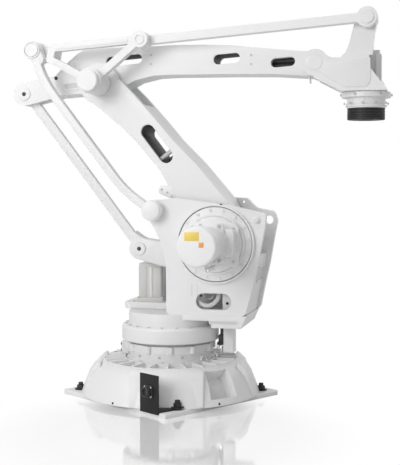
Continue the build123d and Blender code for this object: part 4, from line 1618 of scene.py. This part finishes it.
@dataclass
class BaseFittings(Fittings):
    """Floor bolts, bracket, socket and screws of the fixed base."""

    body: ClassVar[str] = "base"
    anchor_circle: float = 0.437
    drum_radius: float = 0.204
    port_angle: float = -27.0
    bracket_face: float = 0.3783
    bracket_middle: float = 0.276
    front_bolt: float = 0.262
    bracket_width: float = 0.120
    bracket_thickness: float = 0.008
    bracket_low: float = 0.014
    bracket_height: float = 0.172
    socket_height: float = 0.110
    socket_corner: float = 0.0205
    socket_bottom: float = 0.006
    socket_half: float = 0.028
    barrel: Size = (0.0158, 0.022, 0.026)
    insert: Size = (0.0155, 0.007, 0.001)
    pin: Size = (0.0011, 0.008, 0.0004)
    pin_rings: tuple[tuple[float, int], ...] = ((0.0045, 4), (0.0105, 9))
    lock_ring: Size = (0.0216, 0.0245, 0.006)
    lock_ring_out: float = 0.018
    washer: Size = (0.029, 0.0045, 0.0012)
    nut: Size = (0.0195, 0.017)
    stud: Size = (0.0115, 0.014, 0.002)
    stud_rise: float = 0.0205
    top_seam: Size = (0.19, 0.2065, 0.005)
    top_seam_height: float = 0.2245
    low_seam: Size = (0.19, 0.2085, 0.006)
    low_seam_height: float = 0.188
    port_rim: Size = (0.0125, 0.0185, 0.010)
    port_lid: Size = (0.0128, 0.004, 0.001)
    port_height: float = 0.198
    port_reach: float = 0.2025
    screw_height: float = 0.213
    crown_height: float = 0.19
    crown_radius: float = 0.2225
    plug_reach: float = 0.4242
    plug_height: float = 0.031
    plug_angles: Size = (-113.0, -44.0, 67.0, 136.0)

    def build(self) -> None:
        """Build every fitting of the base."""
        self.floor_bolts()
        self.drum()
        self.plugs()
        self.bracket()
        self.connector()

    def floor_bolts(self) -> None:
        """Seat a washer, nut and stud on each corner of the plate."""
        bolts = self.piece("floor_bolts", BLACK_STEEL)
        corners = polar(self.anchor_circle, 4, BASE_TURN + 45.0)
        front = corners.index(min(corners, key=lambda corner: corner.y))
        across = self.bracket_middle + self.bracket_width / 2.0
        corners[front] = spun(BASE_TURN) @ Vector((across, -self.front_bolt, self.bracket_thickness))
        for point in corners:
            foot = Vector((point.x, point.y, PLATE_TOP + point.z))
            bolts.add(lid(*self.washer, 40), facing(foot, UP))
            bolts.add(screw_head(Screw.HEX, *self.nut), facing(foot + UP * self.washer[1], UP, point.x))
            bolts.add(lid(*self.stud, 24), facing(foot + UP * self.stud_rise, UP))
        bolts.close()

    def drum(self) -> None:
        """Screws, seam rings and the round port of the bearing drum."""
        points = polar(self.drum_radius - 0.0005, 12, 30.0)
        self.screws("drum_screws", DRUM_SCREW, radial(self.screw_height, points))
        trim = self.piece("drum_trim")
        trim.add(hoop(*self.top_seam, 96), facing(UP * self.top_seam_height, UP))
        trim.add(hoop(*self.low_seam, 96), facing(UP * self.low_seam_height, UP))
        out = polar(1.0, 1, self.port_angle)[0]
        port = facing(out * self.port_reach + UP * self.port_height, out)
        trim.add(hoop(*self.port_rim, 32), port)
        trim.add(lid(*self.port_lid, 32), port)
        trim.close()
        self.screws("stop_screws", STOP_SCREW, [
            seat(Vector((-0.2443, 0.0, height)), Vector((-1.0, 0.0, 0.0))) for height in (0.206, 0.238)
        ])

    def plugs(self) -> None:
        """Small plugs low on the casting and screws on its crown."""
        spokes = [polar(1.0, 1, angle)[0] for angle in self.plug_angles]
        self.screws("casting_plugs", CASTING_PLUG, [
            seat(out * self.plug_reach + UP * self.plug_height, out + UP * 0.3) for out in spokes
        ])
        crown = ring(UP * self.crown_height, UP, self.crown_radius, 12, 5.0)
        self.screws("crown_screws", CROWN_SCREW, crown)

    def bracket(self) -> None:
        """Bent black plate with its foot, and the square plate and barrel of its socket."""
        swing, thick = spun(BASE_TURN), self.bracket_thickness
        half, back = self.bracket_width / 2.0, self.bracket_face - thick
        bracket = self.piece("bracket_body", BLACK_STEEL)
        upright = block((self.bracket_width, thick, self.bracket_height), 0.0015)
        bracket.add(upright, swing @ shift(self.bracket_middle, -back - thick / 2.0, self.bracket_low))
        left, right = self.bracket_middle - half, self.bracket_middle + half
        foot = [(left + 0.021, -back - 0.001), (right, -back - 0.001), (right + 0.012, -back + 0.136),
                (right - 0.008, -back + 0.136)]
        bracket.add(prism(foot, thick, 0.004, 0.0015), swing @ shift(0.0, 0.0, PLATE_TOP))
        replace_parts(bracket.close(), "connector_bracket")
        socket = self.piece("socket_body", BLACK_PLASTIC)
        face = swing @ shift(self.bracket_middle, -self.bracket_face, self.socket_height) @ STAND_UP
        square = rectangle(self.socket_half, self.socket_half)
        socket.add(prism(square, self.socket_bottom, 0.006, 0.0012), face)
        socket.add(hoop(*self.barrel, 48), face)
        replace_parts(socket.close(), "connector_socket")

    def connector(self) -> None:
        """Insert, pins and screws of the round socket on the black bracket."""
        side, out = polar(1.0, 1, BASE_TURN)[0], polar(1.0, 1, BASE_TURN - 90.0)[0]
        centre = side * self.bracket_middle + out * self.bracket_face + UP * self.socket_height
        insert = self.piece("socket_insert", BLACK_PLASTIC, BARE_STEEL)
        insert.add(lid(*self.insert, 40), facing(centre + out * self.socket_bottom, out))
        face = facing(centre + out * (self.socket_bottom + self.insert[1]), out)
        for radius, count in self.pin_rings:
            for point in polar(radius, count):
                insert.add(lid(*self.pin, 10), facing(face @ point, out), 1)
        insert.add(hoop(*self.lock_ring, 48), facing(centre + out * self.lock_ring_out, out))
        insert.close()
        self.screws("socket_screws", SOCKET_SCREW, [
            seat(centre + side * x + UP * z + out * self.socket_bottom, out)
            for x, z in rectangle(self.socket_corner, self.socket_corner)
        ])


@dataclass
class FrameFittings(Fittings):
    """Screws, plugs, slot, window parts and duct trim of the turning frame."""

    rim_radius: float = 0.183
    ring_height: float = 0.35
    ring_radius: float = 0.2145
    ring_seam: Size = (0.19, 0.2025, 0.006)
    platform_spots: Points = ((-0.19, 0.01), (-0.19, 0.18), (0.0, 0.18), (-0.02, 0.012))
    boss: tuple[float, float, float] = (0.449, -0.18, 0.855)
    slot: tuple[float, float] = (0.297, 0.3815)
    slot_rim: Size = (0.137, 0.021, 0.0022)
    # Grey floor of the grille slot: painted shade in place of the recess.
    slot_shade_floor: Size = (0.128, 0.013, 0.0028)
    window_route: Route = (
        (0.166, -0.110, 0.545), (0.166, -0.128, 0.486), (0.186, -0.146, 0.460), (0.222, -0.150, 0.452),
        (0.252, -0.144, 0.468), (0.270, -0.126, 0.500), (0.268, -0.100, 0.545),
    )
    inner_route: Route = (
        (0.190, -0.085, 0.545), (0.196, -0.100, 0.492), (0.222, -0.110, 0.478), (0.240, -0.100, 0.500),
        (0.244, -0.085, 0.545),
    )
    pocket_low: tuple[float, float, float] = (0.3969, 0.028, 0.412)
    pocket_high: tuple[float, float, float] = (0.4491, 0.028, 0.6845)

    def build(self) -> None:
        """Build every fitting of the frame."""
        self.turning_ring()
        self.near_wall()
        self.window()
        self.far_wall()
        self.front_pocket()
        self.duct()

    def turning_ring(self) -> None:
        """Screws on the turning ring, the seam under it and the screws of the rear platform."""
        seats = ring(UP * self.ring_height, UP, self.ring_radius, 20, 4.0)
        self.screws("ring_screws", RING_SCREW, seats)
        trim = self.piece("ring_trim")
        trim.add(hoop(*self.ring_seam, 96), facing(UP * (self.ring_height - 0.0002), UP))
        trim.close()
        self.screws("platform_screws", PLATFORM_SCREW, [
            seat(Vector((x, y, PLATFORM_TOP)), UP) for x, y in self.platform_spots
        ])

    def near_wall(self) -> None:
        """Boss screw, rim plug, channel lips and the grille slot of the near wall, whose grey floor is painted
        shade of its recess.
        """
        boss = seat(Vector(self.boss), NEAR)
        self.screws("wall_boss_screw", WALL_BOSS_SCREW, [boss])
        up = Vector((0.15, 0.0, 0.9887))
        self.screws("rim_plug", RIM_PLUG, [
            seat(along_y(pivot("lower_arm_swing"), -0.1835) + up * (self.rim_radius - 0.0005), up),
            seat(Vector((0.187, 0.018 - WALL_FACE, 0.501)), NEAR),
        ])
        trim = self.piece("near_wall_trim", CASTING_WHITE, MOTOR_GREY)
        for x in (0.1465, 0.1715):
            trim.add(block((0.004, 0.058, 0.0025), 0.001), shift(x, -WALL_FACE, 0.527) @ STAND_UP)
        slot = shift(self.slot[0], -WALL_FACE, self.slot[1]) @ STAND_UP
        trim.add(stadium(*self.slot_rim, 0.0008), slot)
        # The grey floor is painted shade of the slot's recess.
        trim.add(stadium(*self.slot_shade_floor, 0.0006), slot, 1)
        trim.close()

    def window(self) -> None:
        """Conduit, plate and plug seen through the oval window."""
        loop = self.piece("window_conduit", HOSE_GREY, BARE_STEEL)
        for route, radius in ((self.window_route, 0.0105), (self.inner_route, 0.006)):
            loop.add(bent_tube([Vector(point) for point in route], radius), Matrix.Identity(4))
        loop.close()
        plate = self.piece("window_plate", MOTOR_GREY)
        plate.add(block((0.050, 0.110, 0.004), 0.0015), shift(0.309, -0.1285, 0.480) @ STAND_UP)
        plate.close()
        plug = seat(Vector((0.307, -0.1325, 0.466)), NEAR)
        self.screws("window_screws", WINDOW_SCREW, [plug])

    def far_wall(self) -> None:
        """Screws and a cover plate on the frame's far side."""
        cover = self.piece("far_wall_cover")
        cover.add(block((0.190, 0.080, 0.004), 0.0015), beside(Vector((0.250, WALL_FACE, 0.480)), FAR))
        cover.close()
        self.screws("far_wall_screws", FAR_WALL_SCREW, [
            seat(Vector((x, WALL_FACE + 0.004, z)), FAR) for x in (0.165, 0.335) for z in (0.449, 0.511)
        ])

    def front_pocket(self) -> None:
        """Raised rim of the pocket in the sloping front web, round a grey floor of painted shade for its recess.
        """
        low, high = Vector(self.pocket_low), Vector(self.pocket_high)
        up = (high - low).normalized()
        out = Vector((up.z, 0.0, -up.x))
        place = Matrix((FAR, up, out)).transposed().to_4x4()
        place.translation = low.lerp(high, 0.67) - out * 0.0005
        pocket = self.piece("front_pocket", CASTING_WHITE, MOTOR_GREY)
        # Grey floor: painted shade in place of the pocket's recess.
        pocket.add(block((0.124, 0.064, 0.0015), 0.0005), place, 1)
        for x, y, size in (
            (0.0, 0.036, (0.140, 0.008, 0.006)), (0.0, -0.036, (0.140, 0.008, 0.006)),
            (0.066, 0.0, (0.008, 0.064, 0.006)), (-0.066, 0.0, (0.008, 0.064, 0.006)),
        ):
            pocket.add(block(size, 0.0015), place @ shift(x, y, 0.0))
        pocket.close()

    def duct(self) -> None:
        """Dark connector with bare fittings beside the cable duct, and the duct's seams."""
        connector = self.piece("duct_connector", BLACK_PLASTIC, BARE_STEEL)
        connector.add(block((0.016, 0.034, 0.064), 0.003), shift(0.2585, -0.010, 0.290))
        connector.add(block((0.024, 0.040, 0.040), 0.004), shift(0.2540, -0.010, 0.262))
        connector.add(block((0.030, 0.030, 0.014), 0.003), shift(0.2490, -0.012, 0.252))
        for x, z in ((0.240, 0.239), (0.2545, 0.232)):
            connector.add(screw_head(Screw.HEX, 0.0095, 0.016), facing(Vector((x, -0.018, z)), UP, 0.4), 1)
        connector.add(lid(0.006, 0.022, 0.001, 20), facing(Vector((0.2545, -0.018, 0.214)), UP), 1)
        connector.close()
        seam = self.piece("duct_seams")
        for z in (0.222, 0.343):
            seam.add(block((0.0535, 0.0675, 0.006), 0.002), shift(0.291, 0.0, z))
        seam.close()


@dataclass
class TurningMotor(Fittings):
    """Upright square motor that turns the frame."""

    centre: tuple[float, float] = (-0.118, 0.118)
    half: float = 0.060
    height: float = 0.186
    flange_share: float = 1.14
    bolt: float = 0.062

    def build(self) -> None:
        """Build the motor, which stands for its CAD solid."""
        x, y = self.centre
        half, wide = self.half, self.half * self.flange_share
        motor = self.piece("turning_motor_body", MOTOR_GREY, MOTOR_WHITE, BLACK_PLASTIC)
        motor.add(prism(rectangle(wide, wide), 0.014, 0.012, 0.002), shift(x, y, PLATFORM_TOP))
        body = prism(rectangle(half, half), self.height - 0.008, 0.010, 0.002)
        motor.add(body, shift(x, y, PLATFORM_TOP + 0.006))
        for turn in range(4):
            upright = shift(x, y, PLATFORM_TOP + 0.018) @ spun(90.0 * turn) @ STAND_UP
            motor.add(block((0.012, 0.150, 0.004), 0.0015), upright @ shift(0.003, 0.075, half - 0.001), 1)
            for across in (-0.034, 0.036):
                panel = block((0.034, 0.146, 0.0025), 0.001)
                motor.add(panel, upright @ shift(across, 0.074, half - 0.001))
        socket = shift(x + 0.01, y + half + 0.004, PLATFORM_TOP + 0.118)
        motor.add(block((0.044, 0.032, 0.030), 0.004), socket, 2)
        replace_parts(motor.close(), "turning_motor")
        self.screws("turning_motor_screws", TURNING_MOTOR_SCREW, [
            seat(Vector((x + a, y + b, PLATFORM_TOP + 0.014)), UP) for a, b in rectangle(self.bolt, self.bolt)
        ])


@dataclass
class LowerArmFittings(Fittings):
    """Cross bar, lug, front web and far cover of the lower arm."""

    body: ClassVar[str] = "lower_arm"
    half: float = 0.120
    bar_along: float = 0.482
    bar_across: float = -0.087
    lug_face: float = 0.100
    lug_depth: float = 0.021
    lug: Points = (
        (-0.024, 0.973), (0.030, 0.951), (0.060, 0.953), (0.046, 1.004), (-0.006, 1.010), (-0.026, 0.998),
    )
    front: Points = (
        (0.036, -0.137), (0.138, -0.1525), (0.256, -0.1465), (0.292, -0.1455), (0.292, -0.118),
        (0.138, -0.122), (0.052, -0.112),
    )
    front_half: float = 0.0442

    def place(self, along: float, across: float, y: float) -> Vector:
        """Point on the arm, from distances along and across it and out from its middle."""
        return arm_point("lower_arm_swing", ARM_LEAN, along, across, y)

    def build(self) -> None:
        """Build every fitting of the lower arm."""
        rod = self.piece("slot_bar", MOTOR_GREY)
        along = self.bar_along
        across = (self.place(along, 0.0, 0.0) - self.place(along, -0.1, 0.0)).normalized()
        for y in (-0.085, 0.085):
            rod.add(lid(0.0105, 0.074, 0.001, 24), facing(self.place(along, self.bar_across, y), across))
        rod.close()
        lug = self.piece("lower_arm_lug")
        lug.add(prism(list(self.lug), self.lug_depth, 0.006, 0.003), stand(-self.lug_face))
        lug.close()
        self.screws("lug_screws", LUG_SCREW, [
            seat(Vector((x, -self.lug_face - self.lug_depth, z)), NEAR)
            for x, z in ((-0.010, 0.992), (0.016, 0.978), (0.038, 0.962))
        ])
        web = self.piece("lower_arm_front")
        spots = [self.place(along, across, 0.0) for along, across in self.front]
        outline = [(spot.x, spot.z) for spot in spots]
        web.add(pierced(outline, [], 2.0 * self.front_half, 0.0, 0.002), stand(self.front_half))
        web.close()
        elbow = pivot("upper_arm_swing")
        cover = self.piece("elbow_far_cover")
        cover.add(lid(0.052, 0.010, 0.003), on_side(elbow, self.half, FAR))
        cover.close()
        seats = ring(along_y(elbow, self.half + 0.010), FAR, 0.042, 6)
        self.screws("elbow_cover_screws", ELBOW_COVER_SCREW, seats)


@dataclass
class LinkFittings(Fittings):
    """Rings and raised ribs of the link and the ring of its elbow cap."""

    body: ClassVar[str] = "link"
    face: float = 0.226
    sunk: float = 0.0005
    top_ring: Size = (0.017, 0.0235, 0.004)
    rear_ring: Size = (0.0345, 0.0385, 0.0015)
    rear_face: float = 0.2325
    cap_ring: Size = (0.045, 0.0595, 0.008)
    cap_face: float = 0.256

    def rib(self, piece: Piece, start: Vector, end: Vector, width: float, height: float) -> None:
        """Raised rib between two places on the link's face.

        Args:
            piece: The piece that the rib joins.
            start: One end, in the arm's plane.
            end: The other end.
            width: The rib's width.
            height: How far it stands proud.
        """
        run = end - start
        place = Matrix.Translation(along_y((start + end) / 2.0, self.sunk - self.face))
        turn = Matrix.Rotation(-math.atan2(run.z, run.x), 4, "Y")
        piece.add(stadium(run.length, width, height + self.sunk, 0.4 * height), place @ turn @ STAND_UP)

    def build(self) -> None:
        """Build every fitting of the link."""
        elbow, top = pivot("upper_arm_swing"), pivot("upper_rod_swing")
        rear = elbow + (pivot("lower_rod_swing") - pivot("lower_arm_swing"))
        trim = self.piece("link_trim", ROD_WHITE)
        trim.add(hoop(*self.top_ring, 48), on_side(top, -self.face))
        trim.add(hoop(*self.rear_ring, 64), on_side(rear, -self.rear_face))
        self.rib(trim, rear.lerp(elbow, 0.36), rear.lerp(elbow, 0.80), 0.013, 0.0035)
        self.rib(trim, rear.lerp(top, 0.22), rear.lerp(top, 0.90), 0.020, 0.003)
        trim.close()
        cap = self.piece("elbow_cap_ring", ROD_WHITE)
        cap.add(hoop(*self.cap_ring), on_side(elbow, -self.cap_face))
        cap.close()


@dataclass
class UpperArmFittings(Fittings):
    """Screws, tail slot rims round floors of painted shade, tab and hidden cables of the upper arm."""

    body: ClassVar[str] = "upper_arm"
    half: float = 0.082
    screw_spots: Points = ((0.2548, 0.114), (0.2517, 0.0722), (0.7298, 0.067), (0.727, 0.0262))

    def place(self, along: float, across: float, y: float) -> Vector:
        """Point on the arm, from distances along and across it and out from its middle."""
        return arm_point("upper_arm_swing", ARM_RISE, along, across, y)

    def build(self) -> None:
        """Build every fitting of the upper arm."""
        for side, out in SIDES:
            self.screws(side + "_arm_screws", ARM_SCREW, [
                seat(self.place(along, across, out.y * self.half), out) for along, across in self.screw_spots
            ])
        plug = seat(self.place(-0.2265, 0.050, -self.half), NEAR)
        self.screws("tail_plugs", TAIL_PLUG, [plug])
        turn = Matrix.Rotation(-ARM_RISE, 4, "Y")
        outer, inner, floor = (
            slot_points((0.0, 0.0), *size) for size in ((0.092, 0.044), (0.074, 0.024), (0.078, 0.028))
        )
        # Each tail slot is a raised rim round a grey floor, which is painted shade in place of the slot's recess.
        rims = self.piece("tail_slot_rims", CASTING_WHITE, MOTOR_GREY)
        for _, out in SIDES:
            spot = Matrix.Translation(self.place(-0.150, 0.006, out.y * self.half))
            lie = spot @ turn @ beside(Vector(), out)
            rims.add(pierced(outer, [inner], 0.0025, 0.0, 0.0008), lie)
            rims.add(prism(floor, 0.0008, 0.0, 0.0), lie, 1)
        rims.close()
        tab = self.piece("arm_end_tab")
        end = Matrix.Translation(self.place(0.990, -0.084, -0.050))
        tab.add(block((0.007, 0.030, 0.036), 0.002), end @ turn)
        tab.close()
        lines = self.piece("arm_cables", BLACK_PLASTIC)
        for across, y in ((0.034, -0.030), (0.010, -0.028), (0.022, 0.012)):
            stops = ((0.790, across), (0.880, across), (0.925, across - 0.006))
            route = [self.place(along, height, y) for along, height in stops]
            lines.add(bent_tube(route, 0.0135), Matrix.Identity(4))
        lines.close()


@dataclass
class TiltFittings(Fittings):
    """Panels, screws and the square motor of the tilt housing."""

    body: ClassVar[str] = "tilt_housing"
    half: float = 0.126
    panel: Points = (
        (0.010, -0.036), (0.126, -0.112), (0.232, -0.112), (0.248, -0.085), (0.246, 0.020), (0.182, 0.016),
        (0.120, 0.006), (0.070, 0.012), (0.020, 0.034), (-0.036, 0.030), (-0.040, -0.010),
    )
    motor_centre: tuple[float, float] = (0.94085, 0.014)
    motor_half: float = 0.045
    motor_foot: float = 1.4748
    motor_height: float = 0.148
    motor_rib: tuple[float, float, float] = (0.009, 0.116, 0.006)
    motor_ribs: Size = (-0.030, -0.010, 0.010, 0.030)
    drum_rim: float = 0.0965
    drum_screw_height: float = 1.3835
    collar: float = 0.1115
    collar_height: float = 1.4215
    seam: Size = (0.085, 0.0935, 0.008)
    seam_height: float = 1.3685

    def build(self) -> None:
        """Build every fitting of the tilt housing."""
        wrist, tool = pivot("tilt_swing"), pivot("tool_turn")
        panels = self.piece("tilt_panels")
        for _, out in SIDES:
            outline = [(x, -out.y * z) for x, z in self.panel]
            place = beside(along_y(wrist, out.y * (self.half - 0.0005)), out)
            panels.add(prism(outline, 0.0035, 0.012, 0.0015), place)
        panels.close()
        seats = radial(self.drum_screw_height, polar(self.drum_rim, 10, 12.0), tool.x)
        self.screws("drum_rim_screws", DRUM_RIM_SCREW, seats)
        seats = radial(self.collar_height, polar(self.collar, 6, 8.0), tool.x)
        self.screws("collar_screws", COLLAR_SCREW, seats)
        trim = self.piece("wrist_trim")
        trim.add(hoop(*self.seam, 80), facing(Vector((tool.x, tool.y, self.seam_height)), UP))
        trim.close()
        self.motor()

    def motor(self) -> None:
        """Square wrist motor with upright ribs, which stands for its CAD solid."""
        x, y = self.motor_centre
        half, foot = self.motor_half, self.motor_foot
        motor = self.piece("wrist_motor_body", MOTOR_WHITE, BLACK_PLASTIC)
        motor.add(prism(rectangle(half, half), self.motor_height, 0.010, 0.004), shift(x, y, foot))
        for turn in range(4):
            upright = shift(x, y, foot + 0.0152) @ spun(90.0 * turn) @ STAND_UP
            for across in self.motor_ribs:
                place = upright @ shift(across, self.motor_rib[1] / 2.0, half - 0.0005)
                motor.add(block(self.motor_rib, 0.0018), place)
        motor.add(block((0.030, 0.026, 0.016), 0.003), shift(x, y, foot + self.motor_height - 0.0023), 1)
        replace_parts(motor.close(), "wrist_motor")


@dataclass
class FlangeFittings(Fittings):
    """Turned grooves of the tool flange."""

    body: ClassVar[str] = "tool_flange"
    hoop: Size = (0.078, 0.0858, 0.0072)
    heights: Size = (0.003, 0.0125, 0.022, 0.0345, 0.047)

    def build(self) -> None:
        """Put raised hoops on the flange's rim."""
        tool = pivot("tool_turn")
        rim = self.piece("flange_hoops", BLACK_STEEL)
        for height in self.heights:
            rim.add(hoop(*self.hoop, 80), facing(tool + UP * height, UP))
        rim.close()


@dataclass
class Studio:
    """Camera, lamps, floor and sky of the picture."""

    eye: tuple[float, float, float] = (1.25665, -4.67097, 1.04381)
    azimuth: float = 13.38
    dip: float = 3.08
    lens: float = 78.0
    sensor: float = 36.0
    sky: float = 0.46
    floor_half: float = 9.0
    floor_grey: float = 0.55
    floor_roughness: float = 0.06
    floor_ior: float = 2.9
    floor_specular: float = 0.9
    floor_lift: float = 0.23
    fade_middle: tuple[float, float, float] = (0.15, -0.75, 0.0)
    fade_from: float = 0.42
    fade_to: float = 0.88

    def camera(self) -> None:
        """Make the camera at the photograph's place and angle."""
        data = bpy.data.cameras.new("photo_camera")
        data.lens = self.lens
        data.sensor_width = self.sensor
        data.clip_end = 100.0
        camera = bpy.data.objects.new("photo_camera", data)
        camera.location = self.eye
        camera.rotation_euler = (math.radians(90.0 - self.dip), 0.0, math.radians(self.azimuth))
        bpy.context.scene.collection.objects.link(camera)
        bpy.context.scene.camera = camera

    def lamp(self, name: str, place: Vector, aim: Vector, size: float, power: float) -> None:
        """Make a square soft lamp that points at a place.

        Args:
            name: The lamp's name.
            place: Where it stands.
            aim: What it points at.
            size: Its side length.
            power: Its power in watts.
        """
        data = bpy.data.lights.new(name, "AREA")
        data.shape = "SQUARE"
        data.size = size
        data.energy = power
        lamp = bpy.data.objects.new(name, data)
        lamp.location = place
        lamp.rotation_euler = (aim - place).to_track_quat("-Z", "Y").to_euler()
        bpy.context.scene.collection.objects.link(lamp)

    def lamps(self) -> None:
        """Place the key lamp at the left, a top lamp and a lamp behind the arm."""
        self.lamp("key_lamp", Vector((-2.2, -5.0, 2.7)), Vector((0.0, 0.0, 0.9)), 2.6, 140.0)
        self.lamp("top_lamp", Vector((-0.4, -0.8, 5.2)), Vector((0.2, 0.0, 0.8)), 3.0, 60.0)
        self.lamp("back_lamp", Vector((2.6, 4.2, 3.0)), Vector((0.2, 0.0, 0.9)), 2.4, 25.0)

    def backdrop(self) -> None:
        """White sky for the camera and in reflections, and plain grey light for the rest."""
        world = bpy.data.worlds.new("studio")
        world.use_nodes = True
        wiring = Wiring(world.node_tree)
        plain = wiring.nodes["Background"]
        plain.inputs["Color"].default_value = WHITE
        plain.inputs["Strength"].default_value = self.sky
        seen = wiring.node("ShaderNodeBackground", {"Color": WHITE, "Strength": 1.0})
        path = wiring.node("ShaderNodeLightPath")
        either = wiring.joined("MAXIMUM", path.outputs["Is Camera Ray"], path.outputs["Is Glossy Ray"])
        target = wiring.nodes["World Output"].inputs["Surface"]
        wiring.blended(either, plain.outputs[0], seen.outputs[0], target)
        bpy.context.scene.world = world

    def floor(self) -> None:
        """Lay a pale satin floor that fades to white away from the arm."""
        shape = bmesh.new()
        bmesh.ops.create_circle(shape, cap_ends=True, segments=96, radius=self.floor_half)
        data = bpy.data.meshes.new("studio_floor")
        shape.to_mesh(data)
        shape.free()
        data.materials.append(self.floor_material())
        floor = bpy.data.objects.new("studio_floor", data)
        bpy.context.scene.collection.objects.link(floor)

    def floor_material(self) -> bpy.types.Material:
        """Satin grey that fades to white for the camera.

        Returns:
            The new material.
        """
        material = bpy.data.materials.new("studio_floor")
        material.use_nodes = True
        wiring = Wiring(material.node_tree)
        shader = wiring.nodes["Principled BSDF"]
        for name, value in (
            ("Base Color", (self.floor_grey, self.floor_grey, self.floor_grey, 1.0)),
            ("Roughness", self.floor_roughness), ("IOR", self.floor_ior),
            ("Specular IOR Level", self.floor_specular), ("Emission Color", WHITE),
        ):
            shader.inputs[name].default_value = value
        seen = wiring.node("ShaderNodeLightPath").outputs["Is Camera Ray"]
        wiring.link(wiring.joined("MULTIPLY", seen, self.floor_lift), shader.inputs["Emission Strength"])
        white = wiring.node("ShaderNodeEmission", {"Color": WHITE})
        where = wiring.node("ShaderNodeTexCoord")
        reach = wiring.node("ShaderNodeVectorMath")
        reach.operation = "DISTANCE"
        reach.inputs[1].default_value = self.fade_middle
        wiring.link(where.outputs["Object"], reach.inputs[0])
        fade = wiring.ranged(reach.outputs["Value"], self.fade_from, self.fade_to, "SMOOTHSTEP")
        target = wiring.nodes["Material Output"].inputs["Surface"]
        wiring.blended(wiring.joined("MULTIPLY", fade, seen), shader.outputs[0], white.outputs[0], target)
        return material

    def build(self) -> None:
        """Set up the whole studio."""
        self.camera()
        self.lamps()
        self.backdrop()
        self.floor()
        bpy.context.scene.view_settings.view_transform = "Standard"


def main() -> None:
    """Dress the arm and set up the studio."""
    logging.basicConfig(level=logging.INFO, format="%(message)s")
    Studio().build()
    paints = Paintbox()
    rods = {name: ROD_WHITE for name in ("parallel_rod", "upper_link_rod", "link", "elbow_cap")}
    SoftCastings(
        paints,
        edges={"upper_arm": 0.010, "lower_arm": 0.012, "tilt_housing": 0.010, "far_wall": 0.006},
        finishes={**rods, "tool_flange": BLACK_STEEL},
        skipped=REPLACED,
        hollows=arm_hollows(),
    ).build()
    for fittings in (
        BaseBody, FrameShell, SideDrives, LinkageBodies, BaseFittings, FrameFittings, TurningMotor,
        LowerArmFittings, LinkFittings, UpperArmFittings, TiltFittings, FlangeFittings,
    ):
        log.info("building %s", fittings.__name__)
        fittings(paints).build()


if __name__ == "__main__":
    main()
